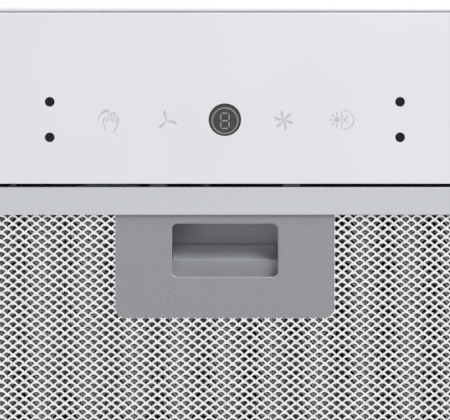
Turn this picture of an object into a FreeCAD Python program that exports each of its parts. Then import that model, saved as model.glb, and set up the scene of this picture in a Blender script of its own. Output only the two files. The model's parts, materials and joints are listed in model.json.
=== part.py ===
import FreeCAD, Part
import math
import os
from FreeCAD import Vector

# Built-in range hood insert, seen from below in use. Millimetres.
# Origin: middle of the underside. +X right, -Y front edge, +Z up to the duct.

# ---------------------------------------------------------------- driving dimensions
# Underside tray
HOOD_WIDTH = 520.0
HOOD_DEPTH = 292.0
TRAY_SHEET = 0.8
TRAY_CORNER_R = 5.0
TRAY_BEND_R = 3.0
TRAY_RIM_HEIGHT = 12.0
TRAY_FLANGE = 8.0

# Glass fascia in the front of the tray
FASCIA_INSET = 0.1
FASCIA_THICK = 4.0
FASCIA_RIM = 3.0
FASCIA_GAP = 0.25
FASCIA_BED = 0.2
FASCIA_DEPTH = 86.2
FASCIA_BEVEL = 1.1

# Keys, display and gesture sensors in the fascia
KEY_INSET = 54.25
KEY_PITCH = 29.2
KEY_BED_HALF = 10.0
DISPLAY_R = 8.1
SENSOR_R = 2.38
SENSOR_INSET = 45.3
SENSOR_SPACING = 17.75
LENS_GAP = 0.06
LENS_COLLAR = 1.0
BOARD_THICK = 1.6
BOARD_STANDOFF = 5.5
BOARD_FOOT_R = 2.0
KEY_BOARD_HALF = 13.0
KEY_CAP_HALF = 15.0
KEY_CAP_WALL = 1.5
KEY_CAP_HEIGHT = 12.0

# Lamps
LAMP_SIDE_INSET = 70.0
LAMP_FRONT_INSET = 42.75
LAMP_R = 29.0
LAMP_BARREL_R = 26.5
LAMP_BARREL_WALL = 1.2
LAMP_LENS_R = 24.0
LAMP_BARREL_TOP = 14.0
LAMP_STEP = 1.0
LAMP_BOARD_RISE = 3.0
LAMP_CUP = 3.4
LAMP_HEIGHT = 26.0
LAMP_FINS = 10
LAMP_FIN_THICK = 1.4
LED_CIRCLE_R = 14.0

# Grease filter
FILTER_SIDE_MARGIN = 31.0
FILTER_REAR_MARGIN = 20.9
FILTER_THICK = 9.5
FILTER_LIFT = 0.8
FILTER_SHEET = 0.8
FILTER_BORDER = 14.0
FILTER_GAP = 1.65
FILTER_REAR_GAP = 5.0
MESH_SHEET = 1.0
MESH_COLUMNS = 17
MESH_ROWS = 8
MESH_STRAND = 4.4
TONGUE_WIDTH = 30.0
TONGUE_THICK = 1.0
TONGUE_X = 150.0
HINGE_Z = 3.2

# Handle and latch in the filter
HANDLE_WIDTH = 110.6
HANDLE_DEPTH = 52.0
HANDLE_THICK = 2.2
HANDLE_CORNER_R = 5.5
POCKET_WIDTH = 53.0
POCKET_DEPTH = 26.5
POCKET_INSET = 4.5
POCKET_HEIGHT = 12.5
POCKET_CORNER_R = 2.8
POCKET_WALL = 1.5
LATCH_THICK = 2.0
LATCH_RECESS = 3.9
LATCH_LEDGE = 8.7
LATCH_TAIL = 5.0
LATCH_GAP = 0.3
SCOOP_R = 6.9
SCOOP_WALL = 1.3
COVER_WALL = 1.2
BOLT_X = 33.5
BOLT_WIDTH = 8.5
BOLT_THROW = 3.5
SPRING_X = 43.0
SPRING_R = 1.9
SPRING_LENGTH = 24.0
SCREW_BOSS_R = 3.0

# Casing above the tray
CASING_SIDE_INSET = 15.0
CASING_END_INSET = 10.5
CASING_TOP = 181.0
CASING_SHEET = 0.7
CASING_FLANGE = 8.0
CASING_TOP_EDGE = 5.0
CASING_FOOT = 7.5
ROOF_LAP = 10.0
ROOF_LAP_GAP = 4.0
PANEL_GAP = 0.1
BEAD_R = 5.0
BEAD_RISE = 2.0
BEAD_Z = (62.0, 130.0)
BEAD_END = 60.0
FIXING_HOLE_R = 2.25
FIXING_PITCH = 200.0
FIXING_Z = 30.0
CLIP_WIDTH = 24.0
CLIP_SPREAD = 7.0
CLIP_Y = 60.0
CLIP_THICK = 1.0
CLIP_BOTTOM = 40.0
CLIP_FLAT = 26.0
CLIP_HEIGHT = 82.0
CLIP_TIP = 18.0
SCREW_R = 1.6
SCREW_HEAD_R = 3.6
SCREW_HEAD_H = 2.0
SCREW_LENGTH = 6.0
SCREW_FIT = 0.06

# Blower
FAN_R = 92.0
FAN_INNER_R = 74.0
FAN_LOWER_INNER_R = 83.0
FAN_BOTTOM = 103.0
FAN_TOP = 168.0
FAN_BLADES = 36
BLADE_THICK = 0.9
BLADE_ARC_R = 13.0
FAN_PLATE = 1.4
STAKE_OUTER = 84.0
MOTOR_DISH_GAP = 8.0
MOTOR_R = 46.0
MOTOR_BOTTOM = 126.0
MOTOR_TOP = 171.0
SHAFT_R = 4.0
SHAFT_FIT = 0.06
MOTOR_BORE = 8.0
HUB_R = 11.0
MOUNT_CIRCLE_R = 56.0
MOUNT_R = 6.5
BRACKET_THICK = 2.0
SCROLL_R = 101.0
SCROLL_STEP = 8.5
SCROLL_WALL = 1.2
SCROLL_FLANGE = 6.0
SCROLL_FLOOR = 95.0
TONGUE_ANGLE = 12.0
TONGUE_R = 14.0
TAIL_INSET = 2.0
TAIL_GAP = 21.0
INLET_R = 72.0
INLET_FLANGE = 12.0
INLET_LIP = 9.0
GUARD_RINGS = 4
GUARD_WIRE = 2.4

# Outlet
COLLAR_SIDE_GAP = 17.0
COLLAR_R = 75.0
COLLAR_WALL = 1.2
COLLAR_HEIGHT = 50.0
COLLAR_FLANGE = 11.0
COLLAR_BASE = 1.5
FLAP_AXIS_RISE = 18.0
FLAP_PIN_R = 1.5
FLAP_KNUCKLE_R = 2.6
FLAP_PLATE = 1.2
FLAP_GAP = 0.8
PIN_CLEARANCE = 0.05

# Electrics
CONTROL_BOX = (46.0, 150.0, 70.0)
CONTROL_HEADROOM = 7.0
CONTROL_WALL = 2.0
CONTROL_CORNER_R = 4.0
PILLAR_R = 3.0
PILLAR_LENGTH = 10.0
PILLAR_INSET = 12.0
BOARD_INSET = 6.0
TRANSFORMER = (22.0, 30.0, 26.0)
RELAY = (16.0, 16.0, 20.0)
RELAY_GAP = 4.0
TERMINAL_STRIP = (9.0, 10.0)
FILTER_CAN_R = 7.0
FILTER_CAN = 18.0
PARTS_INSET = 8.0
CAPACITOR_R = 17.0
CAPACITOR_LENGTH = 54.0
CAPACITOR_GAP = 4.0
CAPACITOR_Z = 64.0
GLAND_R = 8.0
GLAND_BORE_R = 4.0
GLAND_SIDE_INSET = 30.0
GLAND_REAR_INSET = 27.5

# ---------------------------------------------------------------- places worked out from them
HALF_W = HOOD_WIDTH / 2
FRONT = -HOOD_DEPTH / 2
REAR = HOOD_DEPTH / 2
GLASS_BACK = FASCIA_INSET + FASCIA_THICK
BED_Z = GLASS_BACK + FASCIA_BED
BED_TOP = BED_Z + TRAY_SHEET
POCKET_HALF_W = HALF_W - FASCIA_RIM
BED_FRONT = FRONT + FASCIA_RIM
FASCIA_FRONT = BED_FRONT + FASCIA_GAP
FASCIA_REAR = FASCIA_FRONT + FASCIA_DEPTH
FASCIA_HALF_W = POCKET_HALF_W - FASCIA_GAP
BED_REAR = FASCIA_REAR + FASCIA_GAP

KEY_Y = FASCIA_FRONT + KEY_INSET
SENSOR_X = 3 * KEY_PITCH
SENSOR_Y = (FASCIA_FRONT + SENSOR_INSET, FASCIA_FRONT + SENSOR_INSET + SENSOR_SPACING)
BOARD_Z = GLASS_BACK + BOARD_STANDOFF
LAMP_X = HALF_W - LAMP_SIDE_INSET
LAMP_Y = FASCIA_FRONT + LAMP_FRONT_INSET
LAMP_SEAT_R = LAMP_BARREL_R - LAMP_BARREL_WALL - 0.2
LAMP_SINK_R = LAMP_LENS_R - 1.5

FILTER_HALF_W = HALF_W - FILTER_SIDE_MARGIN
FILTER_FRONT = FASCIA_REAR + FILTER_GAP
FILTER_REAR = REAR - FILTER_REAR_MARGIN
FILTER_TOP = FILTER_LIFT + FILTER_THICK
OPENING_HALF_W = FILTER_HALF_W + FILTER_GAP
OPENING_REAR = FILTER_REAR + FILTER_REAR_GAP
LIP_Z = FILTER_LIFT + FILTER_SHEET

HANDLE_FRONT = FILTER_FRONT + FILTER_BORDER - 1.2
HANDLE_REAR = HANDLE_FRONT + 1.2 + HANDLE_DEPTH
HANDLE_BOTTOM = LIP_Z + 0.1
HANDLE_TOP = HANDLE_BOTTOM + HANDLE_THICK
POCKET_FRONT = FILTER_FRONT + FILTER_BORDER + POCKET_INSET
POCKET_REAR = POCKET_FRONT + POCKET_DEPTH
LATCH_BOTTOM = HANDLE_BOTTOM + LATCH_RECESS
LATCH_TOP = LATCH_BOTTOM + LATCH_THICK
LEDGE_FRONT = POCKET_REAR - LATCH_LEDGE
COVER_BOTTOM = LATCH_TOP + LATCH_GAP + 0.1
COVER_TOP = COVER_BOTTOM + 1.5

CASE_HALF_W = HALF_W - CASING_SIDE_INSET
CASE_FRONT = FRONT + CASING_END_INSET
CASE_REAR = REAR - CASING_END_INSET
CASE_INNER_W = CASE_HALF_W - CASING_SHEET
CASE_CEILING = CASING_TOP - CASING_SHEET
FLANGE_REACH = CASE_INNER_W - CASING_FLANGE
CLIP_SCREW_Z = CLIP_BOTTOM + 12
TAIL_R = COLLAR_R + COLLAR_FLANGE - TAIL_INSET
COLLAR_X = CASE_HALF_W - COLLAR_SIDE_GAP - TAIL_R
FAN_X = COLLAR_X - SCROLL_R - TAIL_R - TAIL_GAP
SEAM_X = COLLAR_X - COLLAR_R - COLLAR_FLANGE - ROOF_LAP_GAP
COLLAR_TOP = CASING_TOP + COLLAR_HEIGHT
FLAP_Z = CASING_TOP + FLAP_AXIS_RISE
CONTROL_Z = SCROLL_FLOOR - CONTROL_HEADROOM - CONTROL_BOX[2]
CAPACITOR_Y = CONTROL_BOX[1] / 2 + CAPACITOR_GAP + CAPACITOR_R
GLAND_PLACE = (-CASE_HALF_W + GLAND_SIDE_INSET, CASE_REAR - GLAND_REAR_INSET)


# ---------------------------------------------------------------- shared forms
def box(x0, x1, y0, y1, z0, z1):
    return Part.makeBox(x1 - x0, y1 - y0, z1 - z0, Vector(x0, y0, z0))


def disc(x, y, z0, z1, radius):
    return Part.makeCylinder(radius, z1 - z0, Vector(x, y, z0))


def ring(x, y, z0, z1, outer, inner):
    return disc(x, y, z0, z1, outer).cut(disc(x, y, z0 - 1, z1 + 1, inner))


def slab(x0, x1, y0, y1, z0, z1, radius):
    """A plate with rounded corners."""
    edges = []
    corners = [(x1 - radius, y0 + radius, -90), (x1 - radius, y1 - radius, 0),
               (x0 + radius, y1 - radius, 90), (x0 + radius, y0 + radius, 180)]
    points = []
    for cx, cy, start in corners:
        points.append([on_circle(cx, cy, radius, start + step, z0) for step in (0, 45, 90)])
    for index, arc in enumerate(points):
        edges.append(Part.Arc(arc[0], arc[1], arc[2]).toShape())
        edges.append(Part.makeLine(arc[2], points[(index + 1) % 4][0]))
    return Part.Face(Part.Wire(edges)).extrude(Vector(0, 0, z1 - z0))


def on_circle(x, y, radius, degrees, z=0.0):
    angle = math.radians(degrees)
    return Vector(x + radius * math.cos(angle), y + radius * math.sin(angle), z)


def fuse(shapes):
    first = shapes[0]
    if len(shapes) > 1:
        first = first.multiFuse(shapes[1:])
    return first.removeSplitter()


def group(shapes):
    return Part.makeCompound(shapes)


def rod(x, y, z, direction, radius, length):
    return Part.makeCylinder(radius, length, Vector(x, y, z), direction)


def mirror_x(shape):
    return shape.mirror(Vector(0, 0, 0), Vector(1, 0, 0))


def revolve(points, x, y, z=0.0):
    """A closed profile of (radius, height) points turned about an upright axis."""
    profile = [Vector(x + r, y, z + h) for r, h in points]
    face = Part.Face(Part.makePolygon(profile + [profile[0]]))
    return face.revolve(Vector(x, y, 0), Vector(0, 0, 1), 360)


def extrude_profile(points, y0, y1):
    """A closed profile of (x, z) points drawn along Y."""
    profile = [Vector(px, y0, pz) for px, pz in points]
    return Part.Face(Part.makePolygon(profile + [profile[0]])).extrude(Vector(0, y1 - y0, 0))


def prism(centre, direction, radius, length, sides):
    """A straight many-sided peg; the radius is to its corners."""
    turn = FreeCAD.Rotation(Vector(0, 0, 1), direction)
    corners = []
    for index in range(sides):
        corner = on_circle(0, 0, radius, index * 360.0 / sides)
        corners.append(centre + turn.multVec(corner))
    return Part.Face(Part.makePolygon(corners + [corners[0]])).extrude(direction * length)


def screw(x, y, z, direction, length=SCREW_LENGTH):
    """Hexagon-head sheet screw: the head stands on the seat and the shank follows direction."""
    seat = Vector(x, y, z)
    head = prism(seat, direction * -1, SCREW_HEAD_R, SCREW_HEAD_H, 6)
    return head.fuse(prism(seat, direction, SCREW_R, length, 8))


def shank_hole(x, y, z, direction, length=SCREW_LENGTH + 1.0):
    """Clearance for a screw's shank, from just outside its seat."""
    return prism(Vector(x, y, z) - direction, direction, SCREW_R + SCREW_FIT, length + 1.0, 8)


def bolt_slot(side, y0, y1):
    """Opening for one latch bolt, with the slide's clearance all round."""
    half = BOLT_WIDTH / 2 + LATCH_GAP
    x = side * BOLT_X
    return box(x - half, x + half, y0, y1, LATCH_BOTTOM - LATCH_GAP, LATCH_TOP + LATCH_GAP)


UP = Vector(0, 0, 1)
DOWN = Vector(0, 0, -1)
RIGHT = Vector(1, 0, 0)
BACK = Vector(0, 1, 0)


# ---------------------------------------------------------------- tray and fascia
def rounded_shell(inset):
    """The tray's outer form, drawn in by inset, with its rolled lower edge."""
    body = slab(-HALF_W + inset, HALF_W - inset, FRONT + inset, REAR - inset,
                inset, TRAY_RIM_HEIGHT + (1 if inset else 0), TRAY_CORNER_R - inset)
    lower = [edge for edge in body.Edges if edge.BoundBox.ZMax < inset + 0.01]
    return body.makeFillet(TRAY_BEND_R - inset, lower)


def bottom_tray():
    flange_bottom = TRAY_RIM_HEIGHT - TRAY_SHEET
    shell = rounded_shell(0.0).cut(rounded_shell(TRAY_SHEET))
    rim = slab(-HALF_W + 0.4, HALF_W - 0.4, FRONT + 0.4, REAR - 0.4, flange_bottom, TRAY_RIM_HEIGHT,
               TRAY_CORNER_R - 0.4)
    rim = rim.cut(slab(-HALF_W + TRAY_FLANGE, HALF_W - TRAY_FLANGE, FRONT + TRAY_FLANGE, REAR - TRAY_FLANGE,
                       0, TRAY_RIM_HEIGHT + 1, TRAY_CORNER_R - 0.4))
    bed_cut = box(-POCKET_HALF_W, POCKET_HALF_W, BED_FRONT, BED_REAR, -1, BED_Z)
    bed = box(-POCKET_HALF_W - TRAY_SHEET, POCKET_HALF_W + TRAY_SHEET,
              BED_FRONT - TRAY_SHEET, BED_REAR + TRAY_SHEET, 0.5, BED_TOP)
    curb = box(-OPENING_HALF_W - TRAY_SHEET, OPENING_HALF_W + TRAY_SHEET,
               FASCIA_REAR - TRAY_SHEET, OPENING_REAR + TRAY_SHEET, 0, TRAY_RIM_HEIGHT)
    opening = box(-OPENING_HALF_W, OPENING_HALF_W, FASCIA_REAR, OPENING_REAR, -1, TRAY_RIM_HEIGHT + 1)
    tray = shell.multiFuse([rim, bed, curb]).cut(bed_cut).cut(opening)
    cuts = []
    for side in (-1, 1):
        cuts.append(bolt_slot(side, FASCIA_REAR - TRAY_SHEET - 1, FASCIA_REAR + 1))
        cuts.append(box(side * TONGUE_X - TONGUE_WIDTH / 2 - 0.6, side * TONGUE_X + TONGUE_WIDTH / 2 + 0.6,
                        OPENING_REAR - 1, OPENING_REAR + TRAY_SHEET + 1, HINGE_Z - 2.2, HINGE_Z + 2.5))
        cuts.append(disc(side * LAMP_X, LAMP_Y, 0, BED_TOP + 1, LAMP_BARREL_R + 0.4))
        for y in SENSOR_Y:
            cuts.append(disc(side * SENSOR_X, y, 0, BED_TOP + 1, SENSOR_R + 1.2))
    bed_half = 2 * KEY_PITCH + KEY_BED_HALF
    cuts.append(slab(-bed_half, bed_half, KEY_Y - KEY_BED_HALF, KEY_Y + KEY_BED_HALF, 0, BED_TOP + 1, 4))
    cuts += [shank_hole(x, y, z, DOWN) for x, y, z in foot_screw_places()]
    return tray.cut(group(cuts)).removeSplitter()


def glass_fascia():
    glass = box(-FASCIA_HALF_W, FASCIA_HALF_W, FASCIA_FRONT, FASCIA_REAR, FASCIA_INSET, GLASS_BACK)
    polished = [edge for edge in glass.Edges if edge.BoundBox.ZMax < FASCIA_INSET + 0.01
                and edge.CenterOfMass.y < FASCIA_REAR - 1]
    glass = glass.makeChamfer(FASCIA_BEVEL, polished)
    holes = [disc(0, KEY_Y, -1, BED_TOP, DISPLAY_R + LENS_GAP)]
    for side in (-1, 1):
        holes.append(disc(side * LAMP_X, LAMP_Y, -1, BED_TOP, LAMP_R + 0.3))
        for y in SENSOR_Y:
            holes.append(disc(side * SENSOR_X, y, -1, BED_TOP, SENSOR_R + LENS_GAP))
    return glass.cut(group(holes))


def stepped_lens(x, y, radius):
    """A window plug: its face is flush with the glass and its collar bears on the glass's back."""
    plug = disc(x, y, FASCIA_INSET, GLASS_BACK, radius)
    return fuse([plug, disc(x, y, GLASS_BACK, GLASS_BACK + LENS_COLLAR, radius + 0.8)])


def display_lens():
    return stepped_lens(0, KEY_Y, DISPLAY_R)


def sensor_lenses():
    return group([stepped_lens(side * SENSOR_X, y, SENSOR_R) for side in (-1, 1) for y in SENSOR_Y])


def sensor_boards():
    """One small board over each pair of windows, with an emitter and a receiver reaching down to them."""
    boards = []
    middle = sum(SENSOR_Y) / 2
    foot = SENSOR_SPACING / 2 + 5
    for side in (-1, 1):
        x = side * SENSOR_X
        pieces = [box(x - 8, x + 8, middle - foot - 3, middle + foot + 3, BOARD_Z, BOARD_Z + BOARD_THICK)]
        pieces += [disc(x, y, GLASS_BACK + LENS_COLLAR, BOARD_Z, SENSOR_R - 0.4) for y in SENSOR_Y]
        for y in (middle - foot, middle + foot):
            pieces.append(disc(x, y, BED_TOP, BOARD_Z, BOARD_FOOT_R))
        boards.append(fuse(pieces))
    return group(boards)


def display_module():
    """Seven-segment figure block standing on the lens."""
    half_w = DISPLAY_R * 0.68
    half_d = DISPLAY_R * 0.93
    return box(-half_w, half_w, KEY_Y - half_d, KEY_Y + half_d, GLASS_BACK + LENS_COLLAR, BOARD_Z)


def touch_board():
    half = 2 * KEY_PITCH + KEY_BED_HALF + 4
    top = BOARD_Z + BOARD_THICK
    board = slab(-half, half, KEY_Y - KEY_BOARD_HALF, KEY_Y + KEY_BOARD_HALF, BOARD_Z, top, 2)
    chips = [box(x - 4, x + 4, KEY_Y - 4, KEY_Y + 4, top, top + 1.6) for x in (-KEY_PITCH, KEY_PITCH)]
    plug = box(1.4 * KEY_PITCH, 1.4 * KEY_PITCH + 16, KEY_Y + 4, KEY_Y + 11, top, top + 6)
    foot = KEY_BOARD_HALF - 1.5
    feet = [disc(x, KEY_Y + dy, BED_TOP, BOARD_Z, BOARD_FOOT_R)
            for x in (-half + 4, half - 4) for dy in (-foot, foot)]
    return fuse([board, plug] + chips + feet)


def touch_springs():
    """Sensing springs pressed between the board and the glass, one at each key."""
    return group([Part.makeCone(4.2, 2.8, BOARD_STANDOFF, Vector(key * KEY_PITCH, KEY_Y, GLASS_BACK))
                  for key in (-2, -1, 1, 2)])


def touch_housing():
    """Moulded cap over the key board, open below, with its flange on the tray."""
    wall = KEY_CAP_WALL
    half = 2 * KEY_PITCH + KEY_BED_HALF + 6
    front, rear = KEY_Y - KEY_CAP_HALF, KEY_Y + KEY_CAP_HALF
    ceiling = BOARD_Z + KEY_CAP_HEIGHT - wall
    cap = slab(-half - wall, half + wall, front - wall, rear + wall, BED_TOP, ceiling + wall, 4)
    cap = cap.cut(slab(-half, half, front, rear, BED_TOP - 1, ceiling, 3))
    ears = [slab(x - 6, x + 6, front - 7, rear + 7, BED_TOP, BED_TOP + wall, 3)
            for x in (-half + 18, half - 18)]
    inner = box(-half, half, front, rear, BED_TOP - 1, BED_TOP + wall + 1)
    ribs = [box(x - 0.6, x + 0.6, front, rear, ceiling - wall, ceiling) for x in (-KEY_PITCH, 0, KEY_PITCH)]
    slots = [box(x - 1, x + 1, KEY_Y - 8, KEY_Y + 8, ceiling - 1, ceiling + wall + 1)
             for x in (-18, -12, -6, 6, 12, 18)]
    cap = cap.fuse([ear.cut(inner) for ear in ears]).fuse(ribs).cut(group(slots))
    return cap.removeSplitter()


# ---------------------------------------------------------------- lamps
def lamp_bezel(side):
    """Snap-in ring: flush face, inner cone and barrel through the tray."""
    inner = LAMP_LENS_R + 0.3
    step = GLASS_BACK - LAMP_STEP
    barrel = LAMP_BARREL_R - LAMP_BARREL_WALL
    profile = [(inner, FASCIA_INSET + 1.2), (inner + 1.2, FASCIA_INSET), (LAMP_R - 0.6, FASCIA_INSET),
               (LAMP_R, FASCIA_INSET + 0.6), (LAMP_R, GLASS_BACK), (LAMP_BARREL_R, GLASS_BACK),
               (LAMP_BARREL_R, LAMP_BARREL_TOP), (barrel, LAMP_BARREL_TOP), (barrel, step), (inner, step)]
    return revolve(profile, side * LAMP_X, LAMP_Y)


def lamp_lens(side):
    """Frosted cover with a low dome, dropped on the bezel's step."""
    step = GLASS_BACK - LAMP_STEP
    profile = [(0, FASCIA_INSET + 0.6), (LAMP_LENS_R, FASCIA_INSET + 1.2), (LAMP_LENS_R, step),
               (LAMP_LENS_R + 0.9, step), (LAMP_LENS_R + 0.9, step + 1.2), (0, step + 1.2)]
    return revolve(profile, side * LAMP_X, LAMP_Y)


def lamp_board(side):
    x = side * LAMP_X
    base = GLASS_BACK + LAMP_BOARD_RISE
    plate = disc(x, LAMP_Y, base, base + BOARD_THICK, LAMP_SEAT_R)
    chips = [box(p.x - 1.6, p.x + 1.6, p.y - 1.6, p.y + 1.6, base - 0.8, base)
             for p in (on_circle(x, LAMP_Y, LED_CIRCLE_R, angle) for angle in range(0, 360, 60))]
    return fuse([plate] + chips)


def lamp_heatsink(side):
    """Cast cup on the barrel with straight cooling fins."""
    x = side * LAMP_X
    base = GLASS_BACK + LAMP_BOARD_RISE + BOARD_THICK
    shoulder = base + LAMP_CUP
    cup = disc(x, LAMP_Y, base, shoulder, LAMP_SEAT_R)
    cup = cup.fuse(disc(x, LAMP_Y, shoulder, shoulder + 3, LAMP_SINK_R))
    fins = []
    outermost = LAMP_SINK_R - LAMP_FIN_THICK
    pitch = 2 * outermost / (LAMP_FINS - 1)
    half = LAMP_FIN_THICK / 2
    for index in range(LAMP_FINS):
        offset = index * pitch - outermost
        reach = math.sqrt(LAMP_SINK_R ** 2 - offset ** 2) - 0.5
        left = x + offset - half
        right = x + offset + half
        fins.append(box(left, right, LAMP_Y - reach, LAMP_Y + reach, shoulder + 1, LAMP_HEIGHT))
    return fuse([cup] + fins)


# ---------------------------------------------------------------- grease filter
def filter_frame():
    """Folded channel all round, open inwards, with slots for the bolts in its front web."""
    body = box(-FILTER_HALF_W, FILTER_HALF_W, FILTER_FRONT, FILTER_REAR, FILTER_LIFT, FILTER_TOP)
    bends = [edge for edge in body.Edges if edge.BoundBox.ZLength < 0.01]
    body = body.makeChamfer(0.5, bends)
    channel = box(-FILTER_HALF_W + FILTER_SHEET, FILTER_HALF_W - FILTER_SHEET,
                  FILTER_FRONT + FILTER_SHEET, FILTER_REAR - FILTER_SHEET, LIP_Z, FILTER_TOP - FILTER_SHEET)
    window = box(-FILTER_HALF_W + FILTER_BORDER, FILTER_HALF_W - FILTER_BORDER,
                 FILTER_FRONT + FILTER_BORDER, FILTER_REAR - FILTER_BORDER, 0, FILTER_TOP + 1)
    frame = body.cut(channel).cut(window)
    inner_edge = [edge for edge in frame.Edges if edge.BoundBox.ZMax < FILTER_LIFT + 0.01
                  and abs(edge.CenterOfMass.x) < FILTER_HALF_W - FILTER_BORDER + 0.1
                  and FILTER_FRONT + 1 < edge.CenterOfMass.y < FILTER_REAR - 1]
    frame = frame.makeChamfer(0.35, inner_edge)
    slots = []
    for side in (-1, 1):
        slots.append(bolt_slot(side, FILTER_FRONT - 1, FILTER_FRONT + FILTER_SHEET + 1))
    return frame.cut(group(slots))


def filter_tongues():
    """Flat tongues riveted to the rear web: they reach through the tray and carry the filter's rear edge."""
    reach = CASE_REAR - CASING_SHEET - 0.3
    middle = HINGE_Z
    tongues = []
    for side in (-1, 1):
        x = side * TONGUE_X
        blade = box(x - TONGUE_WIDTH / 2, x + TONGUE_WIDTH / 2, FILTER_REAR, reach,
                    middle - TONGUE_THICK / 2, middle + TONGUE_THICK / 2)
        tip = [edge for edge in blade.Edges if edge.BoundBox.ZLength > 0.5
               and edge.CenterOfMass.y > reach - 0.01]
        blade = blade.makeFillet(3.0, tip)
        foot = box(x - TONGUE_WIDTH / 2, x + TONGUE_WIDTH / 2, FILTER_REAR, FILTER_REAR + TONGUE_THICK,
                   middle - TONGUE_THICK / 2, FILTER_TOP - 1.5)
        rivets = [rod(x + dx, FILTER_REAR + TONGUE_THICK, middle + 3, BACK, 1.5, 0.8) for dx in (-9, 9)]
        tongues.append(fuse([blade, foot] + rivets))
    return group(tongues)


def diamond(x, y, half_w, half_d, z):
    steps = [(half_w, 0), (0, half_d), (-half_w, 0), (0, -half_d), (half_w, 0)]
    return Part.makePolygon([Vector(x + dx, y + dy, z) for dx, dy in steps])


def mesh_layer(z0, z1, columns, rows, strand):
    """One layer of expanded metal: staggered diamonds in a sheet notched round the handle."""
    edge_gap = FILTER_SHEET + 0.3
    half_w = FILTER_HALF_W - edge_gap
    front = FILTER_FRONT + edge_gap
    rear = FILTER_REAR - edge_gap
    notch = HANDLE_WIDTH / 2 + LATCH_GAP
    notch_rear = HANDLE_REAR + LATCH_GAP
    outline = [Vector(-half_w, front, z0), Vector(-notch, front, z0), Vector(-notch, notch_rear, z0),
               Vector(notch, notch_rear, z0), Vector(notch, front, z0), Vector(half_w, front, z0),
               Vector(half_w, rear, z0), Vector(-half_w, rear, z0)]
    wires = [Part.makePolygon(outline + [outline[0]])]
    window_w = FILTER_HALF_W - FILTER_BORDER
    window_front = FILTER_FRONT + FILTER_BORDER
    window_rear = FILTER_REAR - FILTER_BORDER
    pitch_x = 2 * window_w / columns
    pitch_y = (window_rear - window_front) / rows
    half_x = pitch_x / 2 - strand * 0.75
    half_y = pitch_y / 2 - strand * 0.55
    for row in range(2 * rows - 1):
        y = window_front + (row + 1) * pitch_y / 2
        count = columns if row % 2 == 0 else columns - 1
        for column in range(count):
            x = (column - (count - 1) / 2) * pitch_x
            by_handle = abs(x) < notch + half_x + 1 and y < notch_rear + half_y + 1
            if not by_handle:
                wires.append(diamond(x, y, half_x, half_y, z0))
    sheet = Part.makeFace(wires, "Part::FaceMakerBullseye")
    return sheet.extrude(Vector(0, 0, z1 - z0))


def mesh_front():
    return mesh_layer(LIP_Z, LIP_Z + MESH_SHEET, MESH_COLUMNS, MESH_ROWS, MESH_STRAND)


def mesh_core():
    return mesh_layer(LIP_Z + MESH_SHEET, FILTER_TOP - FILTER_SHEET - MESH_SHEET,
                      MESH_COLUMNS // 2, MESH_ROWS // 2, MESH_STRAND * 1.4)


def mesh_back():
    return mesh_layer(FILTER_TOP - FILTER_SHEET - MESH_SHEET, FILTER_TOP - FILTER_SHEET,
                      MESH_COLUMNS // 2 + 1, MESH_ROWS // 2, MESH_STRAND * 1.4)


# ---------------------------------------------------------------- handle and latch
def boss_places():
    places = []
    for side in (-1, 1):
        places.append((side * (SPRING_X + 5), HANDLE_FRONT + 9))
        places.append((side * (SPRING_X + 6.4), HANDLE_REAR - 7))
    return places


def pocket_well():
    """Outer form of the finger pocket behind the plate."""
    half = POCKET_WIDTH / 2 + POCKET_WALL
    return slab(-half, half, POCKET_FRONT - POCKET_WALL, POCKET_REAR + POCKET_WALL, HANDLE_TOP - 0.5,
                HANDLE_BOTTOM + POCKET_HEIGHT + POCKET_WALL, POCKET_CORNER_R + POCKET_WALL)


def latch_slot():
    """Where the slide passes through the side walls and rear wall of the well."""
    half = POCKET_WIDTH / 2 + POCKET_WALL + 1
    return box(-half, half, LEDGE_FRONT - LATCH_GAP, POCKET_REAR + POCKET_WALL + 1,
               LATCH_BOTTOM - LATCH_GAP, LATCH_TOP + LATCH_GAP)


def handle_plate():
    half = HANDLE_WIDTH / 2
    plate = slab(-half, half, HANDLE_FRONT, HANDLE_REAR, HANDLE_BOTTOM, HANDLE_TOP, HANDLE_CORNER_R)
    square_end = box(-half, half, HANDLE_FRONT, HANDLE_FRONT + 8, HANDLE_BOTTOM, HANDLE_TOP)
    plate = plate.fuse(square_end).removeSplitter()
    rim = [edge for edge in plate.Edges if edge.BoundBox.ZMax < HANDLE_BOTTOM + 0.01
           and edge.CenterOfMass.y > HANDLE_FRONT + 0.1]
    plate = plate.makeChamfer(0.5, rim)
    pocket_half = POCKET_WIDTH / 2
    inside = slab(-pocket_half, pocket_half, POCKET_FRONT, POCKET_REAR, HANDLE_BOTTOM - 1,
                  HANDLE_BOTTOM + POCKET_HEIGHT, POCKET_CORNER_R)
    bosses = [disc(x, y, HANDLE_TOP - 0.2, COVER_BOTTOM, SCREW_BOSS_R) for x, y in boss_places()]
    handle = plate.fuse([pocket_well()] + bosses).cut(inside).cut(latch_slot())
    holes = [shank_hole(x, y, COVER_TOP, DOWN) for x, y in boss_places()]
    handle = handle.cut(group(holes)).removeSplitter()
    mouth = [edge for edge in handle.Edges if edge.BoundBox.ZMax < HANDLE_BOTTOM + 0.01
             and abs(edge.CenterOfMass.x) < pocket_half + 0.1
             and POCKET_FRONT - 0.1 < edge.CenterOfMass.y < POCKET_REAR + 0.1]
    return handle.makeChamfer(0.4, mouth)


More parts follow.
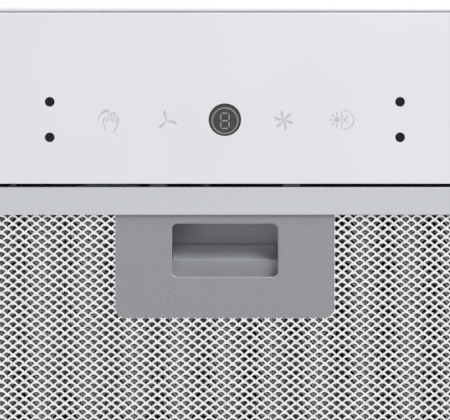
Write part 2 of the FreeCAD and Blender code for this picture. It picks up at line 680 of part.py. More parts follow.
def handle_back():
    """Cover pan behind the slide, screwed to the plate's bosses and hooked over the rear mesh."""
    half = HANDLE_WIDTH / 2 - 1.5
    front = HANDLE_FRONT + 2
    rear = HANDLE_REAR - 1.5
    pan = slab(-half, half, front, rear, HANDLE_TOP, COVER_TOP, 4.0)
    hollow = box(-half + COVER_WALL, half - COVER_WALL, front - 5, rear - COVER_WALL,
                 HANDLE_TOP - 1, COVER_BOTTOM)
    well_half = POCKET_WIDTH / 2 + POCKET_WALL + 0.3
    well = box(-well_half, well_half, POCKET_FRONT - POCKET_WALL - 0.3, POCKET_REAR + POCKET_WALL + 0.3,
               HANDLE_TOP - 1, COVER_TOP + 1)
    seat = LEDGE_FRONT + SPRING_LENGTH
    hook_z = FILTER_TOP - FILTER_SHEET
    hook_top = hook_z + COVER_WALL
    added = []
    for side in (-1, 1):
        x = side * SPRING_X
        added.append(box(x - 2.5, x + 2.5, seat, rear - 1, HANDLE_TOP + 0.1, COVER_BOTTOM + 0.1))
        for y in (HANDLE_FRONT + 18, HANDLE_REAR - 16):
            x = side * (half + 2.5)
            added.append(box(x - 4, x + 4, y - 4, y + 4, hook_z, hook_top))
            near, far = sorted((side * half, side * (half - COVER_WALL)))
            added.append(box(near, far, y - 4, y + 4, COVER_BOTTOM, hook_top))
    cover = pan.cut(hollow).fuse(added).cut(well)
    holes = [shank_hole(x, y, COVER_TOP, DOWN) for x, y in boss_places()]
    return cover.cut(group(holes)).removeSplitter()


def handle_screws():
    return group([screw(x, y, COVER_TOP, DOWN, 4.5) for x, y in boss_places()])


def latch_slide():
    """One moulding: finger ledge with its scoop, cross plate, two arms and their bolts."""
    arm_outer = BOLT_X + BOLT_WIDTH / 2
    plate = box(-arm_outer, arm_outer, LEDGE_FRONT, POCKET_REAR + LATCH_TAIL, LATCH_BOTTOM, LATCH_TOP)
    parts = [plate]
    tip = FASCIA_REAR - BOLT_THROW
    for side in (-1, 1):
        x = side * BOLT_X
        bolt = box(x - BOLT_WIDTH / 2, x + BOLT_WIDTH / 2, tip, LEDGE_FRONT + 1, LATCH_BOTTOM, LATCH_TOP)
        lead = [edge for edge in bolt.Edges if edge.BoundBox.ZMax > LATCH_TOP - 0.01
                and edge.CenterOfMass.y < tip + 0.01 and edge.BoundBox.XLength > 1]
        parts.append(bolt.makeChamfer(LATCH_THICK * 0.6, lead))
        ear_end = SPRING_X + SPRING_R
        parts.append(box(min(side * BOLT_X, side * ear_end), max(side * BOLT_X, side * ear_end),
                         LEDGE_FRONT - 4, LEDGE_FRONT, LATCH_BOTTOM, LATCH_TOP))
    half = POCKET_WIDTH / 2 - LATCH_GAP
    scoop_y = LEDGE_FRONT - SCOOP_R
    outer = rod(-half, scoop_y, LATCH_BOTTOM, RIGHT, SCOOP_R + SCOOP_WALL, 2 * half)
    inner = rod(-half - 1, scoop_y, LATCH_BOTTOM, RIGHT, SCOOP_R, 2 * half + 2)
    quarter = box(-half, half, scoop_y, scoop_y + 20, LATCH_BOTTOM, LATCH_BOTTOM + 20)
    parts.append(outer.cut(inner).common(quarter))
    slide = fuse(parts)
    lip = [edge for edge in slide.Edges if edge.BoundBox.ZMax < LATCH_BOTTOM + 0.01
           and abs(edge.CenterOfMass.y - LEDGE_FRONT) < 0.01 and edge.BoundBox.XLength > 2 * half - 1]
    return slide.makeFillet(0.5, lip) if lip else slide


def latch_springs():
    """Compression springs that push the bolts out, drawn as plain barrels inside the cover."""
    middle = HANDLE_TOP + 0.15 + SPRING_R
    return group([rod(side * SPRING_X, LEDGE_FRONT, middle, BACK, SPRING_R, SPRING_LENGTH)
                  for side in (-1, 1)])


# ---------------------------------------------------------------- casing
def stiffening_bead(x0, x1, y_wall, z, outward):
    """Pressed bead along a wall: the outer skin and the hollow behind it."""
    depth = BEAD_R - BEAD_RISE
    y = y_wall - outward * depth
    skins = []
    for radius in (BEAD_R, BEAD_R - CASING_SHEET):
        bar = rod(x0, y, z, RIGHT, radius, x1 - x0)
        ends = [Part.makeSphere(radius, Vector(x, y, z)) for x in (x0, x1)]
        skins.append(bar.multiFuse(ends))
    reach = 2 * BEAD_R
    near, far = sorted((y_wall - outward * CASING_SHEET, y_wall + outward * reach))
    keep = box(x0 - reach, x1 + reach, near, far, z - reach, z + reach)
    return skins[0].common(keep), skins[1]


def casing_screw_places():
    """Head seat and shank direction of every screw that joins the top, front and rear to the side panels."""
    places = []
    for side in (-1, 1):
        x = side * (CASE_INNER_W - CASING_FLANGE / 2)
        for y in (0.7 * CASE_FRONT, 0.7 * CASE_REAR):
            places.append((x, y, CASING_TOP, DOWN))
        for z in (CASING_TOP / 4, CASING_TOP * 5 / 6):
            places.append((x, CASE_FRONT, z, BACK))
            places.append((x, CASE_REAR, z, BACK * -1))
    return places


def top_screw_places():
    """Screws through the roof into the turned edges of the front and rear walls."""
    inset = CASING_SHEET + CASING_TOP_EDGE / 2 + 0.5
    return [(x, y, CASING_TOP) for x in (-0.6 * CASE_HALF_W, SEAM_X - 3 * ROOF_LAP)
            for y in (CASE_FRONT + inset, CASE_REAR - inset)]


def foot_screw_places():
    """Screws through the casing's foot flanges into the tray."""
    front_y = CASE_FRONT + CASING_SHEET + CASING_FOOT / 2
    rear_y = CASE_REAR + CASING_FOOT / 2
    places = [(share * CASE_HALF_W, front_y, BED_TOP + CASING_SHEET) for share in (-0.5, 0.0, 0.5)]
    places += [(share * CASE_HALF_W, rear_y, TRAY_SHEET + CASING_SHEET) for share in (-0.8, 0.0, 0.8)]
    places += [(side * (CASE_HALF_W + CASING_FOOT / 2 + 0.1), y, TRAY_SHEET + CASING_SHEET)
               for side in (-1, 1) for y in (-20.0, CASE_REAR - 45.5)]
    return places


def casing_holes():
    holes = [shank_hole(*place) for place in casing_screw_places()]
    holes += [shank_hole(x, y, z, DOWN) for x, y, z in foot_screw_places() + top_screw_places()]
    return holes


def casing_top(side):
    """Roof panel. The left one has the gland and the blower's fixings. The right one has the outlet
    and a joggled edge that laps over the left one along a welded seam."""
    if side < 0:
        top = box(-CASE_INNER_W, SEAM_X - PANEL_GAP, CASE_FRONT, CASE_REAR, CASE_CEILING, CASING_TOP)
    else:
        panel = box(SEAM_X, CASE_INNER_W, CASE_FRONT, CASE_REAR, CASE_CEILING, CASING_TOP)
        lap = box(SEAM_X - ROOF_LAP, SEAM_X + CASING_SHEET, CASE_FRONT, CASE_REAR,
                  CASING_TOP, CASING_TOP + CASING_SHEET)
        top = fuse([panel, lap])
    cuts = casing_holes()
    cuts.append(disc(COLLAR_X, 0, CASE_CEILING - 1, CASING_TOP + 1, COLLAR_R + 1))
    cuts.append(disc(*GLAND_PLACE, CASE_CEILING - 1, CASING_TOP + 1, GLAND_R + 0.1))
    for x, y in motor_mount_places() + collar_screw_places():
        cuts.append(shank_hole(x, y, CASING_TOP, DOWN))
    return top.cut(group(cuts))


def end_wall(y_wall, inward, bottom, foot):
    """Upright wall under the roof: its top edge is turned in, and beads are pressed outwards."""
    half = CASE_INNER_W
    y_in = y_wall + inward * CASING_SHEET
    turned = y_wall + inward * (CASING_SHEET + CASING_TOP_EDGE)
    wall = box(-half, half, min(y_wall, y_in), max(y_wall, y_in), bottom, CASE_CEILING)
    edge_half = FLANGE_REACH - 0.3
    edge = box(-edge_half, edge_half, min(y_wall, turned), max(y_wall, turned),
               CASE_CEILING - CASING_SHEET, CASE_CEILING)
    body = fuse([wall, edge, foot])
    for z in BEAD_Z:
        skin, hollow = stiffening_bead(-half + BEAD_END, half - BEAD_END, y_wall, z, -inward)
        body = body.fuse(skin).cut(hollow)
    return body.cut(group(casing_holes())).removeSplitter()


def casing_front():
    half = CASE_INNER_W - 40
    reach = CASING_SHEET + CASING_FOOT
    foot = box(-half, half, CASE_FRONT, CASE_FRONT + reach, BED_TOP, BED_TOP + CASING_SHEET)
    return end_wall(CASE_FRONT, 1, BED_TOP, foot)


def casing_rear():
    foot = box(-CASE_INNER_W, CASE_INNER_W, CASE_REAR - CASING_SHEET, CASE_REAR + CASING_FOOT,
               TRAY_SHEET, TRAY_SHEET + CASING_SHEET)
    return end_wall(CASE_REAR, -1, TRAY_SHEET, foot)


def side_panel(side):
    """Side wall with its flanges inside the other walls, a foot outside and holes for the spring clips."""
    outer = CASE_HALF_W
    inner = CASE_INNER_W
    sheet = CASING_SHEET
    wall = box(inner, outer, CASE_FRONT, CASE_REAR, TRAY_SHEET, CASING_TOP)
    wall = wall.cut(box(inner - 1, outer + 1, CASE_FRONT - 1, BED_REAR + TRAY_SHEET + 0.2, 0, BED_TOP))
    top = box(FLANGE_REACH, inner, CASE_FRONT + sheet, CASE_REAR - sheet, CASE_CEILING - sheet, CASE_CEILING)
    front = box(FLANGE_REACH, inner, CASE_FRONT + sheet, CASE_FRONT + 2 * sheet, BED_TOP + 12, CASE_CEILING)
    rear = box(FLANGE_REACH, inner, CASE_REAR - 2 * sheet, CASE_REAR - sheet, 15, CASE_CEILING)
    foot = box(inner, outer + CASING_FOOT - 1, BED_REAR + 8, CASE_REAR - 6, TRAY_SHEET, TRAY_SHEET + sheet)
    panel = wall.multiFuse([top, front, rear, foot])
    if side < 0:
        panel = mirror_x(panel)
    cuts = casing_holes()
    inwards = RIGHT * -side
    for y in (-FIXING_PITCH / 2, FIXING_PITCH / 2):
        cuts.append(rod(side * (outer + 1), y, FIXING_Z, inwards, FIXING_HOLE_R, 4))
    for y in (-CLIP_Y, CLIP_Y):
        cuts.append(shank_hole(side * outer, y, CLIP_SCREW_Z, inwards))
    return panel.cut(group(cuts)).removeSplitter()


def casing_screws():
    screws = [screw(*place) for place in casing_screw_places()]
    screws += [screw(x, y, z, DOWN) for x, y, z in top_screw_places()]
    screws += [screw(x, y, z, DOWN, CASING_SHEET + TRAY_SHEET) for x, y, z in foot_screw_places()]
    return group(screws)


def cabinet_clips():
    """Leaf springs on both sides that hold the insert up in its cut-out until it is screwed."""
    x = CASE_HALF_W
    t = CLIP_THICK
    bottom, top = CLIP_BOTTOM, CLIP_BOTTOM + CLIP_HEIGHT
    bend, crest = bottom + CLIP_FLAT, top - CLIP_TIP
    profile = [(x, bottom), (x + t, bottom), (x + t, bend), (x + CLIP_SPREAD + t, crest), (x + 4 + t, top),
               (x + 4, top), (x + CLIP_SPREAD, crest), (x, bend + 0.5)]
    clips = []
    for side in (-1, 1):
        for y in (-CLIP_Y, CLIP_Y):
            outline = [(side * px, pz) for px, pz in profile]
            clip = extrude_profile(outline, y - CLIP_WIDTH / 2, y + CLIP_WIDTH / 2)
            clips.append(clip.cut(shank_hole(side * (x + t), y, CLIP_SCREW_Z, RIGHT * -side)))
    return group(clips)


def clip_screws():
    seat = CASE_HALF_W + CLIP_THICK
    length = CLIP_THICK + CASING_SHEET
    return group([screw(side * seat, y, CLIP_SCREW_Z, RIGHT * -side, length)
                  for side in (-1, 1) for y in (-CLIP_Y, CLIP_Y)])


# ---------------------------------------------------------------- blower
def scroll_centres():
    """Centres and radii of the three quarter arcs, each larger by the same step."""
    half = SCROLL_STEP / 2
    return [(FAN_X - half, half, SCROLL_R), (FAN_X - half, -half, SCROLL_R + SCROLL_STEP),
            (FAN_X + half, -half, SCROLL_R + 2 * SCROLL_STEP)]


def scroll_wire(offset, z):
    """Outline of the volute: tongue, three quarter arcs, floor line, round tail, diffuser line."""
    first, second, third = scroll_centres()
    r1, r2, r3 = (arc[2] + offset for arc in (first, second, third))
    tail = TAIL_R + offset
    tongue = TONGUE_R - offset
    tongue_x = first[0] + (SCROLL_R + TONGUE_R) * math.cos(math.radians(TONGUE_ANGLE))
    tongue_y = first[1] + (SCROLL_R + TONGUE_R) * math.sin(math.radians(TONGUE_ANGLE))
    dx, dy = COLLAR_X - third[0], -third[1]
    lower = math.degrees(math.atan2(dy, dx)) - math.degrees(math.acos((r3 - tail) / math.hypot(dx, dy)))
    span = math.hypot(COLLAR_X - tongue_x, tongue_y)
    back = math.degrees(math.atan2(tongue_y, tongue_x - COLLAR_X))
    upper = back - math.degrees(math.acos((tail + tongue) / span))
    # Each arc: centre, radius, first, middle and last angle.
    turns = [
        (first[0], first[1], r1, TONGUE_ANGLE, (TONGUE_ANGLE + 90) / 2, 90),
        (second[0], second[1], r2, 90, 135, 180),
        (third[0], third[1], r3, 180, (180 + 360 + lower) / 2, lower),
        (COLLAR_X, 0, tail, lower, (lower + upper) / 2, upper),
        (tongue_x, tongue_y, tongue, upper + 180, (upper + 360 + TONGUE_ANGLE) / 2, TONGUE_ANGLE + 180),
    ]
    arcs = [[on_circle(x, y, radius, angle, z) for angle in angles] for x, y, radius, *angles in turns]
    arcs[4][2] = arcs[0][0]
    edges = [Part.Arc(a, b, c).toShape() for a, b, c in arcs]
    edges.insert(3, Part.makeLine(arcs[2][2], arcs[3][0]))
    edges.insert(5, Part.makeLine(arcs[3][2], arcs[4][0]))
    return Part.Wire(Part.__sortEdges__(edges))


def scroll_prism(offset, z0, z1):
    return Part.Face(scroll_wire(offset, z0)).extrude(Vector(0, 0, z1 - z0))


def scroll_housing():
    """Moulded cup hung from the casing's top, with a flange and a round inlet in its floor."""
    outer = scroll_prism(SCROLL_WALL, SCROLL_FLOOR, CASE_CEILING)
    flange = scroll_prism(SCROLL_WALL + SCROLL_FLANGE, CASE_CEILING - 1.5, CASE_CEILING)
    inner = scroll_prism(0, SCROLL_FLOOR + SCROLL_WALL, CASE_CEILING + 1)
    inlet = disc(FAN_X, 0, SCROLL_FLOOR - 1, SCROLL_FLOOR + SCROLL_WALL + 1, INLET_R + 6)
    lower = [edge for edge in outer.Edges if edge.BoundBox.ZMax < SCROLL_FLOOR + 0.01]
    cup = outer.makeChamfer(0.8, lower)
    return cup.fuse(flange).cut(inner).cut(inlet).removeSplitter()


def inlet_ring():
    """Bell-mouth that guides the air into the impeller's eye."""
    seat = SCROLL_FLOOR - 1.5
    lip = SCROLL_FLOOR + INLET_LIP
    flange = INLET_R + INLET_FLANGE
    profile = [(flange, seat), (flange, SCROLL_FLOOR), (INLET_R + 5.5, SCROLL_FLOOR),
               (INLET_R + 2.6, SCROLL_FLOOR + 1.4), (INLET_R + 1.4, SCROLL_FLOOR + 4.2), (INLET_R + 1.2, lip),
               (INLET_R, lip), (INLET_R + 0.2, SCROLL_FLOOR + 4), (INLET_R + 1.6, SCROLL_FLOOR + 0.6),
               (INLET_R + 5, seat)]
    return revolve(profile, FAN_X, 0)


def inlet_guard():
    """Wire guard: rings on three spokes, clipped under the bell-mouth."""
    top = SCROLL_FLOOR - 1.5
    wires = []
    outer = INLET_R + 6
    for index in range(GUARD_RINGS):
        radius = outer - index * outer / GUARD_RINGS
        wires.append(ring(FAN_X, 0, top - GUARD_WIRE, top, radius, radius - GUARD_WIRE))
    for angle in (90, 210, 330):
        spoke = box(FAN_X, FAN_X + outer - 1, -GUARD_WIRE / 2, GUARD_WIRE / 2, top - GUARD_WIRE, top)
        wires.append(spoke.rotate(Vector(FAN_X, 0, 0), Vector(0, 0, 1), angle))
    return fuse(wires)


def blade(angle, z0, z1):
    """Forward-curved blade: a strip between two arcs from the inner to the outer radius."""
    inner = Vector(FAN_INNER_R + 0.5, 0, z0)
    outer = Vector(FAN_R - 0.8, 5.5, z0)
    middle = (inner + outer) * 0.5
    along = (outer - inner).normalize()
    across = Vector(along.y, -along.x, 0)
    half = (outer - inner).Length / 2
    sag = BLADE_ARC_R - math.sqrt(BLADE_ARC_R ** 2 - half ** 2)
    near = middle + across * sag
    far = middle + across * (sag + BLADE_THICK)
    tip_in = inner - along * 0.3
    tip_out = outer + along * 0.3
    edges = [Part.Arc(inner, near, outer).toShape(), Part.makeLine(outer, tip_out),
             Part.Arc(tip_out, far, tip_in).toShape(), Part.makeLine(tip_in, inner)]
    strip = Part.Face(Part.Wire(edges)).extrude(Vector(0, 0, z1 - z0))
    strip.rotate(Vector(0, 0, 0), Vector(0, 0, 1), angle)
    strip.translate(Vector(FAN_X, 0, 0))
    return strip


def stake_places():
    points = [on_circle(FAN_X, 0, (FAN_INNER_R + STAKE_OUTER) / 2, angle) for angle in range(5, 360, 60)]
    return [(point.x, point.y) for point in points]


def impeller_rings():
    """The drum's two end rings; stakes on the upper one take the hub plate."""
    top = FAN_TOP - FAN_PLATE
    upper = ring(FAN_X, 0, top - FAN_PLATE, top, FAN_R, FAN_INNER_R)
    lower = ring(FAN_X, 0, FAN_BOTTOM, FAN_BOTTOM + FAN_PLATE, FAN_R, FAN_LOWER_INNER_R)
    stakes = [prism(Vector(x, y, top), UP, SCREW_R, FAN_PLATE + 0.5, 8) for x, y in stake_places()]
    return group([upper.fuse(stakes), lower])


def impeller_blades():
    """Separate forward-curved blades that stand between the rings."""
    bottom = FAN_BOTTOM + FAN_PLATE
    top = FAN_TOP - 2 * FAN_PLATE
    return group([blade(index * 360.0 / FAN_BLADES, bottom, top) for index in range(FAN_BLADES)])


def impeller_hub():
    """Plate that dishes down round the motor, with the shaft's boss in its middle."""
    dish_z = MOTOR_BOTTOM - MOTOR_DISH_GAP
    dish_r = MOTOR_R + MOTOR_DISH_GAP
    top = FAN_TOP - FAN_PLATE
    profile = [(STAKE_OUTER, FAN_TOP), (dish_r + 4, FAN_TOP), (dish_r, dish_z + FAN_PLATE),
               (HUB_R, dish_z + FAN_PLATE), (HUB_R, dish_z + 5), (SHAFT_R, dish_z + 5),
               (SHAFT_R, dish_z - 5), (HUB_R, dish_z - 5),
               (HUB_R, dish_z), (dish_r + 1.2, dish_z), (dish_r + 5, top), (STAKE_OUTER, top)]
    plate = revolve(profile, FAN_X, 0)
    hole_r = SCREW_R + SCREW_FIT
    holes = [prism(Vector(x, y, top - 1), UP, hole_r, FAN_PLATE + 2, 8) for x, y in stake_places()]
    return plate.cut(group(holes))


def motor_shaft():
    profile = [(0, MOTOR_BOTTOM - 18), (SHAFT_R - 1.6, MOTOR_BOTTOM - 18), (SHAFT_R, MOTOR_BOTTOM - 16.4),
               (SHAFT_R, MOTOR_BOTTOM + MOTOR_BORE - 0.3), (0, MOTOR_BOTTOM + MOTOR_BORE - 0.3)]
    return revolve(profile, FAN_X, 0)


def hub_nut():
    """Hexagon nut under the hub."""
    z = MOTOR_BOTTOM - 13
    corners = [on_circle(FAN_X, 0, 7.5, angle, z - 4.5) for angle in range(0, 360, 60)]
    nut = Part.Face(Part.makePolygon(corners + [corners[0]])).extrude(Vector(0, 0, 4.5))
    return nut.cut(disc(FAN_X, 0, z - 6, z + 1, SHAFT_R))


def motor():
    """Round can with end bosses and a ring of cooling slots in its lower cover."""
    bore_r = SHAFT_R + SHAFT_FIT
    bore_top = MOTOR_BOTTOM + MOTOR_BORE
    profile = [(0, bore_top), (0, MOTOR_TOP), (MOTOR_R - 4, MOTOR_TOP), (MOTOR_R, MOTOR_TOP - 4),
               (MOTOR_R, MOTOR_BOTTOM + 8), (MOTOR_R - 3, MOTOR_BOTTOM + 5), (14, MOTOR_BOTTOM + 3),
               (12, MOTOR_BOTTOM), (bore_r, MOTOR_BOTTOM), (bore_r, bore_top)]
    can = revolve(profile, FAN_X, 0)
    slots = []
    for angle in range(0, 360, 30):
        slot = box(FAN_X + 20, FAN_X + 36, -2.5, 2.5, MOTOR_BOTTOM, MOTOR_BOTTOM + 9)
        slots.append(slot.rotate(Vector(FAN_X, 0, 0), Vector(0, 0, 1), angle))
    return can.cut(group(slots))


def motor_mount_places():
    points = [on_circle(FAN_X, 0, MOUNT_CIRCLE_R, angle) for angle in (30, 150, 270)]
    return [(point.x, point.y) for point in points]


def motor_bracket():
    """Three-armed pressed bracket on the motor's top."""
    z = MOTOR_TOP
    pieces = [ring(FAN_X, 0, z, z + BRACKET_THICK, MOTOR_R - 6, 12)]
    for angle in (30, 150, 270):
        arm = slab(FAN_X + 30, FAN_X + MOUNT_CIRCLE_R + 7, -8, 8, z, z + BRACKET_THICK, 6)
        pieces.append(arm.rotate(Vector(FAN_X, 0, 0), Vector(0, 0, 1), angle))
    holes = [shank_hole(x, y, z + BRACKET_THICK, DOWN) for x, y in motor_mount_places()]
    return fuse(pieces).cut(group(holes))


def rubber_mounts():
    """Waisted rubber bushes between the bracket and the casing's top."""
    base = MOTOR_TOP + BRACKET_THICK
    mounts = []
    for x, y in motor_mount_places():
        height = CASE_CEILING - base
        profile = [(SCREW_R + 0.05, 0), (MOUNT_R, 0), (MOUNT_R, height * 0.3), (MOUNT_R - 1.5, height * 0.5),
                   (MOUNT_R, height * 0.7), (MOUNT_R, height), (SCREW_R + 0.05, height)]
        mounts.append(revolve(profile, x, y, base))
    return group(mounts)


def motor_screws():
    return group([screw(x, y, CASING_TOP, DOWN, CASING_TOP - MOTOR_TOP + 2) for x, y in motor_mount_places()])


# ---------------------------------------------------------------- outlet
def collar_screw_places():
    radius = COLLAR_R + COLLAR_FLANGE / 2 + 0.5
    points = [on_circle(COLLAR_X, 0, radius, angle) for angle in (45, 135, 225, 315)]
    return [(point.x, point.y) for point in points]


def outlet_collar():
    """Duct spigot with its base flange and a ledge that the closed flaps rest on."""
    inner = COLLAR_R - COLLAR_WALL
    ledge = FLAP_Z - FLAP_KNUCKLE_R - 0.1
    profile = [(COLLAR_R, CASING_TOP), (COLLAR_R + COLLAR_FLANGE, CASING_TOP),
               (COLLAR_R + COLLAR_FLANGE, CASING_TOP + COLLAR_BASE), (COLLAR_R, CASING_TOP + COLLAR_BASE),
               (COLLAR_R, COLLAR_TOP), (inner, COLLAR_TOP), (inner, ledge), (inner - 3, ledge),
               (inner - 3, ledge - 1.2), (inner, ledge - 4), (inner, CASING_TOP)]
    body = revolve(profile, COLLAR_X, 0)
    holes = [shank_hole(x, y, CASING_TOP + COLLAR_BASE, DOWN) for x, y in collar_screw_places()]
    holes.append(rod(COLLAR_X, -COLLAR_R - 2, FLAP_Z, BACK, FLAP_PIN_R, 2 * COLLAR_R + 4))
    return body.cut(group(holes))


def collar_screws():
    seat = CASING_TOP + COLLAR_BASE
    length = COLLAR_BASE + CASING_SHEET + 2
    return group([screw(x, y, seat, DOWN, length) for x, y in collar_screw_places()])


def flap_pin():
    return rod(COLLAR_X, -COLLAR_R, FLAP_Z, BACK, FLAP_PIN_R, 2 * COLLAR_R)


def knuckle_rows(side):
    """Stretches of the pin that this flap's knuckles take, leaving room for the other flap's."""
    if side < 0:
        return [(-60.0, -40.0), (-9.0, 9.0), (40.0, 60.0)]
    return [(-37.0, -12.0), (12.0, 37.0)]


def flap(side):
    """Half-round back-draught flap with knuckles on the shared pin; it lies just under the pin."""
    radius = COLLAR_R - COLLAR_WALL - FLAP_GAP
    top = FLAP_Z - FLAP_PIN_R + 0.2
    plate = disc(COLLAR_X, 0, top - FLAP_PLATE, top, radius)
    start = FLAP_KNUCKLE_R - 0.6
    if side < 0:
        plate = plate.common(box(COLLAR_X - 99, COLLAR_X - start, -99, 99, top - 9, top + 9))
    else:
        plate = plate.common(box(COLLAR_X + start, COLLAR_X + 99, -99, 99, top - 9, top + 9))
    room = []
    for y0, y1 in knuckle_rows(-side):
        room.append(rod(COLLAR_X, y0 - 0.6, FLAP_Z, BACK, FLAP_KNUCKLE_R + 0.4, y1 - y0 + 1.2))
    knuckles = [rod(COLLAR_X, y0, FLAP_Z, BACK, FLAP_KNUCKLE_R, y1 - y0) for y0, y1 in knuckle_rows(side)]
    rib_x = COLLAR_X + side * radius * 0.45
    rib = box(rib_x - 1, rib_x + 1, -radius * 0.75, radius * 0.75, top - 0.2, top + 2.2)
    bore = rod(COLLAR_X, -COLLAR_R, FLAP_Z, BACK, FLAP_PIN_R + PIN_CLEARANCE, 2 * COLLAR_R)
    return plate.cut(group(room)).multiFuse(knuckles + [rib]).cut(bore).removeSplitter()


# ---------------------------------------------------------------- electrics
def cable_gland():
    """Clamping gland in the casing's top, where the mains lead goes in."""
    x, y = GLAND_PLACE
    profile = [(GLAND_BORE_R, CASE_CEILING - 8), (GLAND_R, CASE_CEILING - 8), (GLAND_R, CASING_TOP),
               (GLAND_R + 3, CASING_TOP), (GLAND_R + 3, CASING_TOP + 5), (GLAND_R, CASING_TOP + 7),
               (GLAND_R, CASING_TOP + 13), (GLAND_BORE_R + 1.5, CASING_TOP + 16),
               (GLAND_BORE_R, CASING_TOP + 16)]
    return revolve(profile, x, y)


def gland_nut():
    x, y = GLAND_PLACE
    corners = [on_circle(x, y, GLAND_R + 4.5, angle, CASE_CEILING - 5) for angle in range(0, 360, 60)]
    nut = Part.Face(Part.makePolygon(corners + [corners[0]])).extrude(Vector(0, 0, 5))
    return nut.cut(disc(x, y, CASE_CEILING - 6, CASE_CEILING + 1, GLAND_R))


def control_box_extent():
    width, depth, height = CONTROL_BOX
    return -CASE_INNER_W, -CASE_INNER_W + width, -depth / 2, depth / 2, CONTROL_Z, CONTROL_Z + height


def control_box():
    """Moulded tray on the left side wall, open to the middle, with pillars for the board."""
    x0, x1, y0, y1, z0, z1 = control_box_extent()
    w = CONTROL_WALL
    shell = box(x0, x1 - w, y0, y1, z0, z1)
    upright = [edge for edge in shell.Edges if edge.BoundBox.XLength > x1 - w - x0 - 0.01]
    shell = shell.makeFillet(CONTROL_CORNER_R, upright)
    shell = shell.cut(box(x0 + w, x1 + 1, y0 + w, y1 - w, z0 + w, z1 - w))
    pillars = [rod(x0 + w - 0.2, y, z, RIGHT, PILLAR_R, PILLAR_LENGTH)
               for y in (y0 + PILLAR_INSET, y1 - PILLAR_INSET)
               for z in (z0 + PILLAR_INSET, z1 - PILLAR_INSET)]
    entry = [disc(x0 + 20, y, z1 - w - 1, z1 + 1, 5) for y in (-20, 0, 20)]
    return shell.fuse(pillars).cut(group(entry)).removeSplitter()


def control_lid():
    x0, x1, y0, y1, z0, z1 = control_box_extent()
    w = CONTROL_WALL
    lid = box(x1 - w, x1, y0, y1, z0, z1)
    upright = [edge for edge in lid.Edges if edge.BoundBox.XLength > w - 0.01]
    lid = lid.makeFillet(CONTROL_CORNER_R, upright)
    rim = box(x1 - 2 * w, x1 - w, y0 + w + 0.2, y1 - w - 0.2, z0 + w + 0.2, z1 - w - 0.2)
    rim = rim.cut(box(x1 - 9, x1, y0 + 2 * w + 0.2, y1 - 2 * w - 0.2, z0 + 2 * w + 0.2, z1 - 2 * w - 0.2))
    slots = [box(x1 - w - 1, x1 + 1, y0 + 20, y1 - 20, z1 - drop - 1, z1 - drop + 1) for drop in (14, 20, 26)]
    return lid.fuse(rim).cut(group(slots)).removeSplitter()


def control_board():
    """Power board on the pillars with transformer, relays, terminal strip and filter capacitor."""
    x0, x1, y0, y1, z0, z1 = control_box_extent()
    face = x0 + CONTROL_WALL - 0.2 + PILLAR_LENGTH
    top = face + BOARD_THICK
    edge = BOARD_INSET
    low = z0 + edge + PARTS_INSET
    strip_top = z1 - edge - BOARD_INSET
    transformer_y = y0 + edge + PARTS_INSET + CONTROL_WALL
    strip_inset = edge + PARTS_INSET + BOARD_INSET
    relays = [y * (RELAY[1] + RELAY_GAP) for y in (0, 1)]
    can_y = relays[1] + RELAY[1] + FILTER_CAN_R * 2
    parts = [box(face, top, y0 + edge, y1 - edge, z0 + edge, z1 - edge),
             box(top, top + TRANSFORMER[0], transformer_y, transformer_y + TRANSFORMER[1],
                 low, low + TRANSFORMER[2]),
             box(top, top + TERMINAL_STRIP[0], y0 + strip_inset, y1 - strip_inset,
                 strip_top - TERMINAL_STRIP[1], strip_top),
             rod(top, can_y, z0 + PILLAR_INSET + FILTER_CAN_R * 2, RIGHT, FILTER_CAN_R, FILTER_CAN)]
    for y in relays:
        parts.append(box(top, top + RELAY[0], y, y + RELAY[1], low, low + RELAY[2]))
    return fuse(parts)


def capacitor():
    """Motor run capacitor on the left side wall, held by its stud."""
    end = CAPACITOR_LENGTH - CASE_INNER_W
    can = rod(-CASE_INNER_W, CAPACITOR_Y, CAPACITOR_Z, RIGHT, CAPACITOR_R, CAPACITOR_LENGTH)
    crown = [edge for edge in can.Edges if edge.BoundBox.XMin > end - 0.01]
    can = can.makeChamfer(1.5, crown)
    tabs = [box(end - 0.5, end + 8, y - 0.4, y + 0.4, CAPACITOR_Z - 4, CAPACITOR_Z + 4)
            for y in (CAPACITOR_Y - 6, CAPACITOR_Y + 6)]
    return can.fuse(tabs).removeSplitter()


# ---------------------------------------------------------------- nodes
NODES = {
    "bottom_tray": bottom_tray,
    "glass_fascia": glass_fascia,
    "display_lens": display_lens,
    "sensor_lenses": sensor_lenses,
    "sensor_boards": sensor_boards,
    "display_module": display_module,
    "touch_board": touch_board,
    "touch_springs": touch_springs,
    "touch_housing": touch_housing,
    "filter_frame": filter_frame,
    "filter_tongues": filter_tongues,
    "mesh_front": mesh_front,
    "mesh_core": mesh_core,
    "mesh_back": mesh_back,
    "handle_plate": handle_plate,
    "handle_back": handle_back,
    "handle_screws": handle_screws,
    "latch_slide": latch_slide,
    "latch_springs": latch_springs,
    "casing_front": casing_front,
    "casing_rear": casing_rear,
    "casing_screws": casing_screws,
    "cabinet_clips": cabinet_clips,
    "clip_screws": clip_screws,
    "scroll_housing": scroll_housing,
    "inlet_ring": inlet_ring,
    "inlet_guard": inlet_guard,
    "impeller_rings": impeller_rings,
    "impeller_blades": impeller_blades,
    "impeller_hub": impeller_hub,
    "motor_shaft": motor_shaft,
    "hub_nut": hub_nut,
    "motor": motor,
    "motor_bracket": motor_bracket,
    "rubber_mounts": rubber_mounts,
    "motor_screws": motor_screws,
    "outlet_collar": outlet_collar,
    "collar_screws": collar_screws,
    "flap_pin": flap_pin,
    "cable_gland": cable_gland,
    "gland_nut": gland_nut,
    "control_box": control_box,
    "control_lid": control_lid,
    "control_board": control_board,
    "capacitor": capacitor,
}

